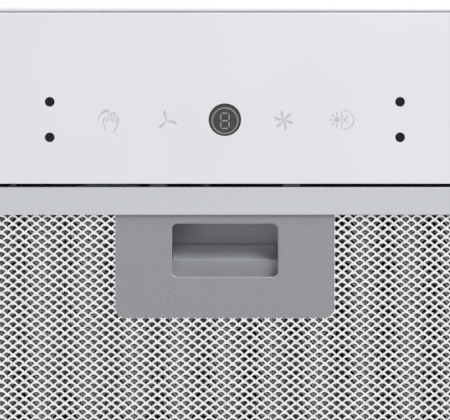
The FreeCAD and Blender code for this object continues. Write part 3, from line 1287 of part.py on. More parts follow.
SIDED = {
    "lamp_bezel": lamp_bezel,
    "lamp_lens": lamp_lens,
    "lamp_board": lamp_board,
    "lamp_heatsink": lamp_heatsink,
    "casing_top": casing_top,
    "casing_side": side_panel,
    "flap": flap,
}

os.makedirs("parts", exist_ok=True)
for name, make in NODES.items():
    make().exportStep(f"parts/{name}.step")
for name, make in SIDED.items():
    for word, side in (("left", -1), ("right", 1)):
        make(side).exportStep(f"parts/{name}_{word}.step")
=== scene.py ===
import json
import math

import bpy
from bpy.props import FloatProperty, FloatVectorProperty, PointerProperty
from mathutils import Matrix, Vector


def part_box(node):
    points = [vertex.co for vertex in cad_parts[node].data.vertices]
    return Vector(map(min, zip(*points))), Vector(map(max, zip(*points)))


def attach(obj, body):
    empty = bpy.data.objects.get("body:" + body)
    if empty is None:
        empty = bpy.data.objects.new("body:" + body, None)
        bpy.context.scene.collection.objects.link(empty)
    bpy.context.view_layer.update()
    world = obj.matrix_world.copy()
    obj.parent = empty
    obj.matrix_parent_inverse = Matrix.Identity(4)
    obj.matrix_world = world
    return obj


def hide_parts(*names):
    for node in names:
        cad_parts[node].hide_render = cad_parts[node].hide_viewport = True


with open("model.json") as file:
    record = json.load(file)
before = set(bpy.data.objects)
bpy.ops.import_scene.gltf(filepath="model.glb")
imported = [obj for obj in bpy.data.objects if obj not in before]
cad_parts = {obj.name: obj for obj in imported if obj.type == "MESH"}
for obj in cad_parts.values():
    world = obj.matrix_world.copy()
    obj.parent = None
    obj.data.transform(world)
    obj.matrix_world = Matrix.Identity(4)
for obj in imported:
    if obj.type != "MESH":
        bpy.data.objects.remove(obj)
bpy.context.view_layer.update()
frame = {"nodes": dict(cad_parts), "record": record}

bl_info = {
    "name": "Range hood insert",
    "version": (1, 0, 0),
    "blender": (4, 5, 0),
    "location": "3D View > Sidebar > Hood",
    "description": "Finishes and fine pieces of a built-in range hood insert",
    "category": "Object",
}

MM = 0.001


# ------------------------------------------------------------ places read from the frame
BODY_OF = {node: body for body, nodes in frame["record"]["behaviour"]["bodies"].items() for node in nodes}
SLOT_OF = {part["node"]: part["material_slot"] for part in frame["record"]["subparts"]}


def low(node):
    """Lowest corner of a CAD node at rest."""
    return Vector(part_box(node)[0])


def high(node):
    """Highest corner of a CAD node at rest."""
    return Vector(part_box(node)[1])


FASCIA_FACE = low("glass_fascia").z
KEY_ROW_Y = (low("display_lens").y + high("display_lens").y) / 2
FRAME_LOW = low("filter_frame")
FRAME_HIGH = high("filter_frame")
PLATE_LOW = low("handle_plate")
PLATE_HIGH = high("handle_plate")
HANDLE_CORNER = 5.5 * MM
WINDOW_HALF_WIDTH = 215.0 * MM
MESH_PHASE = (73.2 * MM, -34.1 * MM)  # middle of one opening of the outer mesh
MERGE = 0.002 * MM  # points nearer than this are one
SPANGLE = 9.0 * MM  # size of a zinc spangle


# ------------------------------------------------------------ small tools
def linear(channel):
    """One sRGB channel, 0 to 1, as linear light."""
    if channel <= 0.04045:
        return channel / 12.92
    return ((channel + 0.055) / 1.055) ** 2.4


def colour(code):
    """sRGB hex such as "c8cace" to a linear RGBA tuple."""
    parts = [int(code[i:i + 2], 16) / 255 for i in (0, 2, 4)]
    return tuple(linear(part) for part in parts) + (1.0,)


def add_node(material, kind, settings=None, links=None):
    """Add a node, set attributes or input values by name, and link its inputs by name or number."""
    node = material.node_tree.nodes.new(kind)
    for key, value in (settings or {}).items():
        if key in node.inputs:
            node.inputs[key].default_value = value
        else:
            setattr(node, key, value)
    for key, source in (links or {}).items():
        material.node_tree.links.new(source, node.inputs[key])
    return node


def start_material(name):
    """A new node material with its Principled shader and object coordinates."""
    material = bpy.data.materials.new(name)
    material.use_nodes = True
    shader = material.node_tree.nodes["Principled BSDF"]
    place = add_node(material, "ShaderNodeTexCoord").outputs["Object"]
    return material, shader, place


def link(material, source, target):
    material.node_tree.links.new(source, target)


def grain(material, place, size_mm, detail=2.0, stretch=None):
    """Noise whose features are about size_mm across; stretch is a scale along X, Y and Z."""
    vector = place
    if stretch:
        mapping = add_node(material, "ShaderNodeMapping", {"Scale": stretch}, {"Vector": place})
        vector = mapping.outputs["Vector"]
    noise = add_node(material, "ShaderNodeTexNoise", {"Scale": 1.0 / (size_mm * MM), "Detail": detail},
                     {"Vector": vector})
    return noise.outputs["Fac"]


def ramp(material, value, first, last, start=0.3, end=0.7):
    """Blend between two colours by a value."""
    node = add_node(material, "ShaderNodeValToRGB", links={"Fac": value})
    node.color_ramp.elements[0].position = start
    node.color_ramp.elements[1].position = end
    node.color_ramp.elements[0].color = first
    node.color_ramp.elements[1].color = last
    return node.outputs["Color"]


def spread(material, value, smallest, largest):
    """Map a 0 to 1 value onto a range, for roughness."""
    node = add_node(material, "ShaderNodeMapRange", {"To Min": smallest, "To Max": largest}, {"Value": value})
    return node.outputs["Result"]


def bump(material, shader, height, depth_mm, strength=1.0):
    """Raise the surface by height, at most depth_mm."""
    settings = {"Strength": strength, "Distance": depth_mm * MM}
    node = add_node(material, "ShaderNodeBump", settings, {"Height": height})
    link(material, node.outputs["Normal"], shader.inputs["Normal"])


def finish(name, shades, roughness, grain_mm, depth_mm, metallic=0.0, detail=2.0, stretch=None):
    """A finish with two close shades, a grain that also varies its gloss, and a shallow relief."""
    material, shader, place = start_material(name)
    value = grain(material, place, grain_mm, detail, stretch)
    link(material, ramp(material, value, colour(shades[0]), colour(shades[1])), shader.inputs["Base Color"])
    link(material, spread(material, value, roughness[0], roughness[1]), shader.inputs["Roughness"])
    shader.inputs["Metallic"].default_value = metallic
    bump(material, shader, value, depth_mm, 0.5)
    return material, shader, place


# ------------------------------------------------------------ materials
def powder_coat_white():
    """Polyester powder coat on steel: satin white with a faint orange peel."""
    return finish("powder_coated_steel_white", ("dcdee1", "e0e2e4"), (0.34, 0.42), 1.2, 0.02, detail=3.0)[0]


def back_printed_glass():
    """Tempered float glass printed white on its back: dead flat, with a deep gloss."""
    material, shader, place = start_material("back_printed_glass_white")
    value = grain(material, place, 60.0, 1.0)
    link(material, ramp(material, value, colour("e6e7eb"), colour("e9eaee")), shader.inputs["Base Color"])
    shader.inputs["Roughness"].default_value = 0.12
    shader.inputs["IOR"].default_value = 1.52
    shader.inputs["Coat Weight"].default_value = 0.4
    shader.inputs["Coat Roughness"].default_value = 0.05
    bump(material, shader, grain(material, place, 35.0, 1.0), 0.01, 0.3)
    return material


def tinted_window():
    """Tinted polycarbonate that passes infra-red: nearly black, smooth, slightly hazy."""
    material, shader, _ = finish("tinted_polycarbonate_window", ("0b0b0d", "111113"), (0.22, 0.3), 0.8, 0.002)
    shader.inputs["IOR"].default_value = 1.3
    return material


def smoked_display():
    """Smoked acrylic over the figure: charcoal with a soft gloss."""
    return finish("smoked_acrylic_display", ("343435", "393939"), (0.22, 0.30), 1.0, 0.002)[0]


def display_rim_black():
    """Black-printed rim round the smoked lens."""
    return finish("black_printed_rim", ("131313", "1a1a1a"), (0.25, 0.35), 0.5, 0.002)[0]


def printed_symbol():
    """Pale grey screen print: matt ink, hardly darker than the glass."""
    return finish("screen_print_pale_grey", ("c0c2c4", "c7c8cb"), (0.45, 0.6), 0.4, 0.004)[0]


def ring_print():
    """Grey ring printed behind the smoked window."""
    return finish("screen_print_mid_grey", ("828080", "8a8888"), (0.4, 0.5), 0.4, 0.002)[0]


def segment_painted_glow():
    """Diffusing segments of the figure, unlit, with a faint painted glow."""
    material, shader, _ = finish("display_segment_painted_glow", ("8d8c8c", "989797"), (0.4, 0.5), 0.4, 0.002)
    # painted glow: the unlit segments emit a faint light of their own
    shader.inputs["Emission Color"].default_value = colour("c8cccc")
    shader.inputs["Emission Strength"].default_value = 0.05
    return material


def anodised_satin():
    """Bead-blasted, clear-anodised aluminium: bright, even, softly metallic."""
    return finish("satin_anodised_aluminium", ("bfc1c5", "c9cbcf"), (0.42, 0.52), 0.35, 0.008, 0.55, 4.0)[0]


def expanded_aluminium():
    """Slit and stretched bare aluminium: bright strands, duller where they turn down."""
    return finish("expanded_aluminium", ("e2e3e3", "fafafa"), (0.38, 0.5), 1.2, 0.02, 0.35)[0]


def expanded_aluminium_inner_painted_shade():
    """The inner layers of the filter: the same metal, painted greyer as the shade that the face layer casts on
    them.
    """
    return finish("expanded_aluminium_inner_painted_shade", ("8c8d8f", "b9babb"), (0.4, 0.55), 1.2, 0.02, 0.3)[0]


def spark_eroded_abs():
    """Grey ABS from a spark-eroded mould: fine matt grain that scatters the light."""
    return finish("spark_eroded_abs_grey", ("8a8c90", "9b9da1"), (0.5, 0.62), 0.8, 0.04, detail=5.0)[0]


def pocket_abs_painted_shade():
    """The cover behind the finger pocket: the same resin, smoother, and a shade darker as painted shade deep in
    the pocket.
    """
    return finish("moulded_abs_grey_painted_pocket_shade", ("76787c", "808286"), (0.45, 0.55), 0.8, 0.02)[0]


def moulded_black():
    """Glass-filled polyamide, black, semi-matt from the mould."""
    return finish("moulded_polyamide_black", ("1d1e20", "26272a"), (0.42, 0.55), 0.9, 0.015)[0]


def moulded_white():
    """White polycarbonate moulding with a fine matt grain."""
    return finish("moulded_polycarbonate_white", ("e2e3e4", "e9eaeb"), (0.38, 0.48), 0.8, 0.01)[0]


def moulded_grey():
    """Flame-retardant polypropylene, mid grey, with soft flow marks."""
    return finish("moulded_polypropylene_grey", ("53565a", "5e6165"), (0.45, 0.6), 6.0, 0.02,
                  stretch=(1, 0.35, 1))[0]


def frosted_cover():
    """Frosted polycarbonate lamp cover: milky, passing a little light."""
    material, shader, _ = finish("frosted_polycarbonate", ("eff0ee", "f6f6f4"), (0.5, 0.6), 0.5, 0.01)
    shader.inputs["Subsurface Weight"].default_value = 0.25
    shader.inputs["Subsurface Radius"].default_value = (0.004, 0.004, 0.004)
    return material


def die_cast():
    """Die-cast aluminium heat sink: dull silver with flow patches."""
    return finish("die_cast_aluminium", ("9b9da0", "b2b4b6"), (0.45, 0.6), 3.0, 0.03, 0.8)[0]


def solder_mask():
    """Green solder mask: thin gloss lacquer, uneven over the tracks."""
    return finish("solder_mask_green", ("12472a", "1a5a37"), (0.28, 0.4), 2.2, 0.02)[0]


def galvanised_sheet():
    """Hot-dip galvanised sheet: zinc spangles of several millimetres, each reflecting a little differently."""
    material, shader, place = start_material("hot_dip_galvanised_sheet")
    cells = add_node(material, "ShaderNodeTexVoronoi", {"Scale": 1.0 / SPANGLE, "Randomness": 1.0},
                     {"Vector": place})
    tone = add_node(material, "ShaderNodeSeparateColor", links={"Color": cells.outputs["Color"]})
    fine = grain(material, place, 1.5, 3.0)
    mixed = add_node(material, "ShaderNodeMix", {"Factor": 0.25}, {"A": tone.outputs["Red"], "B": fine})
    value = mixed.outputs["Result"]
    shades = ramp(material, value, colour("979a9d"), colour("b3b6b8"), 0.1, 0.9)
    link(material, shades, shader.inputs["Base Color"])
    link(material, spread(material, value, 0.34, 0.5), shader.inputs["Roughness"])
    shader.inputs["Metallic"].default_value = 0.85
    bump(material, shader, fine, 0.01, 0.4)
    return material


def zinc_plate():
    """Clear-passivated zinc plate on small steel parts: bright with a faint blue."""
    return finish("clear_zinc_plated_steel", ("b9bdc2", "c9ccd0"), (0.25, 0.38), 0.7, 0.004, 1.0)[0]


def spring_strip():
    """Rolled stainless spring strip: long fine lines from the rolls."""
    return finish("rolled_stainless_strip", ("a9abad", "bdbfc1"), (0.22, 0.36), 0.4, 0.003, 1.0,
                  stretch=(1, 1, 0.05))[0]


def ground_steel():
    """Cylindrically ground steel."""
    return finish("ground_steel", ("a4a7ab", "b9bcbf"), (0.18, 0.3), 0.3, 0.002, 1.0, stretch=(1, 1, 6))[0]


def motor_enamel():
    """Black stoved enamel on the motor's pressed can."""
    return finish("stoved_enamel_black", ("1f2124", "292b2e"), (0.3, 0.42), 2.0, 0.01)[0]


def soft_rubber():
    """Black natural rubber with a dusty bloom."""
    return finish("natural_rubber_black", ("151515", "202020"), (0.7, 0.85), 1.0, 0.02)[0]


def drawn_can():
    """Deep-drawn aluminium can with its drawing lines lengthwise."""
    return finish("deep_drawn_aluminium", ("b4b7ba", "c6c8ca"), (0.3, 0.42), 0.6, 0.004, 0.9,
                  stretch=(0.04, 1, 1))[0]


# finish and the nodes that have it
FINISHES = (
    (powder_coat_white, ["bottom_tray"]),
    (back_printed_glass, ["glass_fascia"]),
    (tinted_window, ["sensor_lenses"]),
    (display_rim_black, ["display_lens", "display_module"]),
    (solder_mask, ["sensor_boards", "touch_board", "lamp_board_left", "lamp_board_right", "control_board"]),
    (anodised_satin, ["filter_frame", "filter_tongues"]),
    (expanded_aluminium, ["mesh_front"]),
    # painted shade: the inner and rear layers are a darker copy of the face layer's metal
    (expanded_aluminium_inner_painted_shade, ["mesh_core", "mesh_back"]),
    (spark_eroded_abs, ["handle_plate", "latch_slide"]),
    # painted shade: the pocket's cover is darker than the handle's grey ABS
    (pocket_abs_painted_shade, ["handle_back"]),
    (moulded_black, ["touch_housing", "outlet_collar", "cable_gland", "gland_nut"]),
    (moulded_white, ["lamp_bezel_left", "lamp_bezel_right", "control_box", "control_lid"]),
    (moulded_grey, ["scroll_housing", "inlet_ring", "flap_left", "flap_right"]),
    (frosted_cover, ["lamp_lens_left", "lamp_lens_right"]),
    (die_cast, ["lamp_heatsink_left", "lamp_heatsink_right"]),
    (galvanised_sheet, ["casing_top_left", "casing_top_right", "impeller_rings", "impeller_blades",
                        "casing_front", "casing_rear", "casing_side_left", "casing_side_right",
                        "motor_bracket", "impeller_hub"]),
    (zinc_plate, ["casing_screws", "handle_screws", "clip_screws", "motor_screws", "collar_screws",
                  "hub_nut", "inlet_guard"]),
    (spring_strip, ["cabinet_clips", "touch_springs", "latch_springs"]),
    (ground_steel, ["motor_shaft", "flap_pin"]),
    (motor_enamel, ["motor"]),
    (soft_rubber, ["rubber_mounts"]),
    (drawn_can, ["capacitor"]),
)


# ------------------------------------------------------------ modelling tools
def deselect():
    if bpy.context.object and bpy.context.object.mode != "OBJECT":
        bpy.ops.object.mode_set(mode="OBJECT")
    bpy.ops.object.select_all(action="DESELECT")


def choose(piece):
    """Make one object the only one selected, and active."""
    deselect()
    piece.select_set(True)
    bpy.context.view_layer.objects.active = piece


def settle(piece):
    """Put the object's place into its mesh."""
    choose(piece)
    bpy.ops.object.transform_apply(location=True, rotation=True, scale=True)


def apply_modifiers(piece):
    choose(piece)
    for modifier in list(piece.modifiers):
        bpy.ops.object.modifier_apply(modifier=modifier.name)


def dress(piece, material, body, replaced=()):
    """Give a finished piece its material and its body, and hide the CAD nodes it replaces."""
    piece.data.materials.clear()
    piece.data.materials.append(material)
    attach(piece, body)
    for node in replaced:
        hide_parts(node)


def join(pieces, name):
    deselect()
    for piece in pieces:
        piece.select_set(True)
    bpy.context.view_layer.objects.active = pieces[0]
    if len(pieces) > 1:
        bpy.ops.object.join()
    whole = bpy.context.object
    whole.name = name
    whole.data.name = name
    return whole


def smooth(piece, degrees=30.0):
    choose(piece)
    bpy.ops.object.shade_smooth_by_angle(angle=math.radians(degrees))


def new_curve(points, smooth_line, cyclic):
    """A curve object through or near (x, y) points in metres."""
    deselect()
    bpy.ops.curve.primitive_nurbs_path_add(location=(0, 0, 0))
    line = bpy.context.object
    line.data.splines.clear()
    spline = line.data.splines.new("NURBS" if smooth_line else "POLY")
    spline.points.add(len(points) - 1)
    for index, (x, y) in enumerate(points):
        spline.points[index].co = (x, y, 0, 1)
    spline.use_cyclic_u = cyclic
    if smooth_line:
        spline.order_u = 3
        spline.use_endpoint_u = not cyclic
        spline.resolution_u = 5
    return line


def to_mesh(line, z):
    """Turn a curve into a mesh whose place is in its points, moved to height z."""
    choose(line)
    bpy.ops.object.convert(target="MESH")
    line = bpy.context.object
    line.location.z += z
    settle(line)
    return line


def stroke(points, width, depth, z, smooth_line=True, cyclic=False):
    """A printed line of even width, as a flattened round bead centred on height z."""
    line = new_curve(points, smooth_line, cyclic)
    line.data.dimensions = "3D"
    line.data.bevel_depth = width / 2
    line.data.bevel_resolution = 2
    line.data.use_fill_caps = True
    line.scale = (1, 1, depth / width)
    return to_mesh(line, z)


def patch(points, depth, z, smooth_line=False):
    """A filled printed shape, depth thick, centred on height z."""
    line = new_curve(points, smooth_line, True)
    line.data.dimensions = "2D"
    line.data.fill_mode = "BOTH"
    line.data.extrude = depth / 2
    return to_mesh(line, z)


def arc_points(centre, radius, start, end, count=12):
    """Points on a circle, by degrees, counted from +X towards -Y (up in the underside view)."""
    points = []
    for index in range(count + 1):
        angle = math.radians(start + (end - start) * index / count)
        points.append((centre[0] + radius * math.cos(angle), centre[1] - radius * math.sin(angle)))
    return points


def copy_of(node, name):
    """A merged copy of a CAD node's mesh as an object of its own."""
    deselect()
    piece = bpy.data.objects.new(name, frame["nodes"][node].data.copy())
    bpy.context.scene.collection.objects.link(piece)
    choose(piece)
    bpy.ops.mesh.customdata_custom_splitnormals_clear()
    bpy.ops.object.mode_set(mode="EDIT")
    bpy.ops.mesh.select_all(action="SELECT")
    bpy.ops.mesh.remove_doubles(threshold=MERGE)
    bpy.ops.mesh.dissolve_limited(angle_limit=math.radians(0.5))
    bpy.ops.object.mode_set(mode="OBJECT")
    return piece


def islands(piece):
    """Lists of vertex numbers, one for each loose part of a mesh."""
    parent = list(range(len(piece.data.vertices)))

    def root(index):
        while parent[index] != index:
            parent[index] = parent[parent[index]]
            index = parent[index]
        return index

    for edge in piece.data.edges:
        parent[root(edge.vertices[0])] = root(edge.vertices[1])
    groups = {}
    for index in range(len(parent)):
        groups.setdefault(root(index), []).append(index)
    return list(groups.values())


# ------------------------------------------------------------ settings a user would change
class HoodMeshSettings(bpy.types.PropertyGroup):
    """Expanded metal of the grease filter."""
    pitch_x: FloatProperty(name="Pitch across", description="Distance between openings along the width",
                           default=5.785 * MM, unit="LENGTH")
    pitch_y: FloatProperty(name="Pitch along", description="Distance between openings along the depth",
                           default=4.385 * MM, unit="LENGTH")
    inner_share_x: FloatProperty(name="Inner pitch across", description="Share of the outer pitch across",
                                 default=0.8, min=0.4, max=1.5)
    inner_share_y: FloatProperty(name="Inner pitch along", description="Share of the outer pitch along",
                                 default=1.0, min=0.4, max=2.0)
    middle_share_y: FloatProperty(name="Middle pitch along", description="Share of the outer pitch along",
                                  default=5 / 7, min=0.4, max=2.0)
    margin: FloatProperty(name="Margin", description="How far the mesh runs on under the frame's lip",
                          default=3.0 * MM, unit="LENGTH")


class HoodPrintSettings(bpy.types.PropertyGroup):
    """Printed key symbols and the display figure."""
    key_pitch: FloatProperty(name="Key pitch", description="Distance between neighbouring symbols",
                             default=29.2 * MM, unit="LENGTH")
    line: FloatProperty(name="Line", description="Width of the printed lines", default=0.52 * MM, unit="LENGTH")
    figure_height: FloatProperty(name="Figure height", description="Height of the display figure",
                                 default=8.2 * MM, unit="LENGTH")
    figure_width: FloatProperty(name="Figure width", description="Width of the display figure",
                                default=4.8 * MM, unit="LENGTH")
    segment_width: FloatProperty(name="Segment width", description="Width of the figure's bars",
                                 default=0.6 * MM, unit="LENGTH")
    ring_radius: FloatProperty(name="Ring radius", description="Middle radius of the ring round the figure",
                               default=6.4 * MM, unit="LENGTH")
    ring_width: FloatProperty(name="Ring width", description="Width of the ring round the figure",
                              default=0.75 * MM, unit="LENGTH")
    rim: FloatProperty(name="Rim", description="Width of the window's dark rim", default=0.7 * MM,
                       unit="LENGTH")
    display_drop: FloatProperty(name="Figure offset", description="Ring and figure behind the window's middle",
                                default=0.55 * MM, unit="LENGTH")


class HoodEdgeSettings(bpy.types.PropertyGroup):
    """Rounded edges, the seal round the glass, and screws."""
    share: FloatProperty(name="Edge rounding", description="Scale of all the rounded edges", default=1.0,
                         min=0.1, max=2.0)
    seal_width: FloatProperty(name="Seal width", description="Width of the bead round the glass",
                              default=0.6 * MM, unit="LENGTH")
    seal_depth: FloatProperty(name="Seal depth", description="Middle of the bead above the glass face",
                              default=0.55 * MM, unit="LENGTH")
    seal_offset: FloatProperty(name="Seal offset", description="Middle of the bead outside the glass",
                               default=0.02 * MM, unit="LENGTH")
    screw_radius: FloatProperty(name="Screw radius", description="Outer radius of the screws' thread",
                                default=1.6 * MM, unit="LENGTH")


class HoodStageSettings(bpy.types.PropertyGroup):
    """Camera, light and floor."""
    picture_width: FloatProperty(name="Picture width", description="Width in view at the underside",
                                 default=225.0 * MM, unit="LENGTH")
    distance: FloatProperty(name="Camera distance", description="Camera to underside", default=1.25,
                            unit="LENGTH")
    aim: FloatVectorProperty(name="Aim", description="Point of the underside in the picture's middle",
                             default=(0.00005, -0.04335, 0.0), subtype="TRANSLATION")
    sky: FloatProperty(name="Room light", description="Strength of the even light from all sides", default=0.34)
    lamp: FloatProperty(name="Soft lamps", description="Power of the large lamps in watts", default=9.0)


# ------------------------------------------------------------ expanded metal
# outlines of one opening and its cell, in shares of the pitch
HOLE = ((0.0, 0.285), (0.15, 0.10), (0.285, -0.075), (0.19, -0.22),
        (0.0, -0.275), (-0.19, -0.22), (-0.285, -0.075), (-0.15, 0.10))
CELL = ((0.0, 0.5), (0.25, 0.25), (0.5, 0.0), (0.25, -0.25),
        (0.0, -0.5), (-0.25, -0.25), (-0.5, 0.0), (-0.25, 0.25))
RING_DROP = 0.12  # how much of the drop a ring between the cell's edge and the hole has
CELL_MERGE = 0.01 * MM  # points of neighbouring cells nearer than this are one
OVERLAP = 1.5 * MM  # how far the mesh runs on behind the handle's plate


def expanded_cell(pitch_x, pitch_y, z, opening, drop, rings):
    """One scalloped opening: eight points on the cell's edge, extruded inwards to the hole."""
    deselect()
    bpy.ops.mesh.primitive_circle_add(vertices=8, radius=1.0, location=(0, 0, 0))
    cell = bpy.context.object
    shares = [0.0] + rings + [1.0]
    depths = [0.0] + [drop * RING_DROP] * len(rings) + [drop]
    bpy.ops.object.mode_set(mode="EDIT")
    bpy.ops.mesh.select_all(action="SELECT")
    for _ in shares[1:]:
        bpy.ops.mesh.extrude_region_move()
    bpy.ops.object.mode_set(mode="OBJECT")
    for index, vertex in enumerate(cell.data.vertices):
        ring, step = divmod(index, 8)
        edge, hole = CELL[step], HOLE[step]
        share = shares[ring]
        x = edge[0] + (hole[0] * opening - edge[0]) * share
        y = edge[1] + (hole[1] * opening - edge[1]) * share
        vertex.co = (x * pitch_x, y * pitch_y, z + depths[ring])
    return cell


def expanded_sheet(name, settings, shares, z, opening, drop, rings, phase, mirrored):
    """The cell repeated in staggered rows over the filter's window, trimmed round the handle."""
    pitch_x = settings.pitch_x * shares[0]
    pitch_y = settings.pitch_y * shares[1]
    border = (FRAME_HIGH.x - FRAME_LOW.x) / 2 - WINDOW_HALF_WIDTH
    half_width = WINDOW_HALF_WIDTH + settings.margin
    front = FRAME_LOW.y + border - settings.margin
    rear = FRAME_HIGH.y - border + settings.margin
    columns = int(2 * half_width / pitch_x) + 2
    rows = int((rear - front) / pitch_y) + 2
    first = expanded_cell(pitch_x, pitch_y, z, opening, drop, rings)
    second = expanded_cell(pitch_x, pitch_y, z, opening, drop, rings)
    for vertex in second.data.vertices:
        vertex.co.x += pitch_x / 2
        vertex.co.y += pitch_y / 2
    sheet = join([first, second], name)
    for vertex in sheet.data.vertices:
        if mirrored:
            vertex.co.y = -vertex.co.y
        vertex.co.x += phase[0] - math.ceil((phase[0] + half_width) / pitch_x) * pitch_x
        vertex.co.y += phase[1] - math.ceil((phase[1] - front) / pitch_y) * pitch_y
    for axis, pitch, count in ((0, pitch_x, columns), (1, pitch_y, rows)):
        repeat = sheet.modifiers.new("repeat", "ARRAY")
        repeat.count = count + 1
        repeat.use_relative_offset = False
        repeat.use_constant_offset = True
        repeat.constant_offset_displace = (pitch if axis == 0 else 0, pitch if axis == 1 else 0, 0)
    apply_modifiers(sheet)
    bpy.ops.object.mode_set(mode="EDIT")
    bpy.ops.mesh.select_all(action="SELECT")
    bpy.ops.mesh.remove_doubles(threshold=CELL_MERGE)
    bpy.ops.mesh.select_all(action="DESELECT")
    bpy.ops.object.mode_set(mode="OBJECT")
    for face in sheet.data.polygons:
        x, y = face.center.x, face.center.y
        outside = abs(x) > half_width or not front < y < rear
        behind_plate = PLATE_LOW.x + OVERLAP < x < PLATE_HIGH.x - OVERLAP and y < PLATE_HIGH.y - OVERLAP
        corner = Vector((abs(x) - (PLATE_HIGH.x - HANDLE_CORNER), y - (PLATE_HIGH.y - HANDLE_CORNER)))
        if behind_plate and corner.x > 0 and corner.y > 0:
            behind_plate = corner.length < HANDLE_CORNER - OVERLAP
        face.select = outside or behind_plate
    bpy.ops.object.mode_set(mode="EDIT")
    bpy.ops.mesh.delete(type="FACE")
    bpy.ops.mesh.select_all(action="SELECT")
    bpy.ops.mesh.normals_make_consistent(inside=False)
    bpy.ops.object.mode_set(mode="OBJECT")
    if sum(face.normal.z for face in sheet.data.polygons) > 0:
        sheet.data.flip_normals()
    smooth(sheet, 60)
    return sheet


class HOOD_OT_expanded_metal(bpy.types.Operator):
    """Make the filter's layers of expanded metal in place of the coarse sheets"""
    bl_idname = "hood.expanded_metal"
    bl_label = "Expanded metal"

    def execute(self, context):
        settings = context.scene.hood_mesh
        whole = (1.0, 1.0)
        inner = (settings.inner_share_x, settings.inner_share_y)
        middle = (settings.inner_share_x, settings.middle_share_y)
        # an opening of every layer lies here, and the layers' openings meet again at even steps from it
        meet = (MESH_PHASE[0] + 1.5 * settings.pitch_x, MESH_PHASE[1] + 4.5 * settings.pitch_y)
        # name, CAD node, pitch shares, height, opening, drop, rings, place of one opening, mirrored
        layers = (
            ("mesh_face", "mesh_front", whole, 1.75, 1.16, 0.6, [0.86], MESH_PHASE, False),
            ("mesh_second", "mesh_core", inner, 3.4, 1.3, 0.4, [], meet, True),
            ("mesh_third", "mesh_core", middle, 5.4, 1.35, 0.4, [], meet, False),
            ("mesh_rear", "mesh_back", inner, 8.6, 1.4, 0.7, [], meet, True),
        )
        for name, node, shares, z, opening, drop, rings, phase, mirrored in layers:
            sheet = expanded_sheet(name, settings, shares, z * MM, opening, drop * MM, rings, phase,
                                   mirrored)
            dress(sheet, MATERIAL_OF[node], BODY_OF[node], [node])
        return {"FINISHED"}


# ------------------------------------------------------------ printed symbols and display
PRINT_DEPTH = 0.05 * MM
# outlines in millimetres about a key's middle, y up in the underside view
FINGERS = (
    ((-1.2, -5.1), (-1.95, -3.1), (-2.2, -1.35), (-2.35, 0.4), (-1.95, 1.35), (-1.4, 1.0), (-0.85, -0.35),
     (-0.45, -1.1)),
    ((-0.45, -1.1), (0.05, 0.4), (0.3, 1.9), (0.8, 3.15), (1.35, 3.35), (1.9, 2.8), (1.7, 1.15), (1.05, -0.7)),
    ((1.9, 2.8), (2.15, 3.65), (2.75, 3.9), (3.4, 3.15), (3.05, 1.9), (2.8, 0.65), (2.3, -0.85)),
    ((3.4, 2.9), (4.05, 2.85), (4.5, 2.3), (4.55, 1.3), (4.05, -0.1), (3.7, -1.35)),
    ((4.6, 1.15), (5.35, 0.6), (5.35, -0.1), (4.95, -0.9), (4.45, -3.1), (3.8, -4.6), (2.8, -6.1)),
)
SWEEP = ((-5.2, -1.35), (-5.35, -0.1), (-4.7, 1.65), (-3.6, 3.4), (-2.2, 4.65), (-0.85, 5.3), (0.45, 5.4),
         (0.55, 3.9), (-0.7, 3.8), (-2.1, 3.4), (-3.35, 2.5), (-4.3, 1.4), (-4.85, -0.1))
BLADE = ((0.1, -0.15), (-0.5, 0.9), (-1.2, 2.1), (-1.8, 3.5), (-1.6, 4.6), (-1.0, 5.3), (-0.55, 5.1),
         (-0.35, 3.7), (-0.15, 2.2), (0.2, 0.8))
BAR = ((0, 4.8), (0, -4.8))
SUN_X, SUN_RADIUS, SUN_RAY = -2.35, 1.4, (2.15, 3.9)
CLOCK_X, CLOCK_RADIUS, CLOCK_HUB = 1.5, 4.55, 0.7
CLOCK_HANDS = ((3.3, 2.2), (3.4, -1.8))


def on_key(centre, points):
    """Points in millimetres about a key's middle, y up in the underside view, as places on the glass."""
    return [(centre[0] + x * MM, centre[1] - y * MM) for x, y in points]


def printed(pieces, name):
    """Join the strokes and patches of a symbol and put it on the glass."""
    ink = bpy.data.materials["screen_print_pale_grey"]
    dress(join(pieces, name), ink, BODY_OF["glass_fascia"])


def hand_symbol(centre, line):
    """A waving hand: finger strokes and a curved sweep above them."""
    pieces = [stroke(on_key(centre, finger), line, PRINT_DEPTH, FASCIA_FACE) for finger in FINGERS]
    pieces.append(patch(on_key(centre, SWEEP), PRINT_DEPTH, FASCIA_FACE, True))
    printed(pieces, "symbol_wave_hand")


def fan_symbol(centre, blades, share, name):
    """A propeller of equal petals; share sets their length."""
    petal_line = [(x * share, y * share) for x, y in BLADE]
    first = patch(on_key(centre, petal_line), PRINT_DEPTH, FASCIA_FACE, True)
    pieces = [first]
    for index in range(1, blades):
        petal = first.copy()
        petal.data = first.data.copy()
        bpy.context.scene.collection.objects.link(petal)
        choose(petal)
        bpy.ops.object.mode_set(mode="EDIT")
        bpy.ops.mesh.select_all(action="SELECT")
        bpy.ops.transform.rotate(value=index * math.tau / blades, orient_axis="Z",
                                 center_override=(centre[0], centre[1], FASCIA_FACE))
        bpy.ops.object.mode_set(mode="OBJECT")
        pieces.append(petal)
    printed(pieces, name)


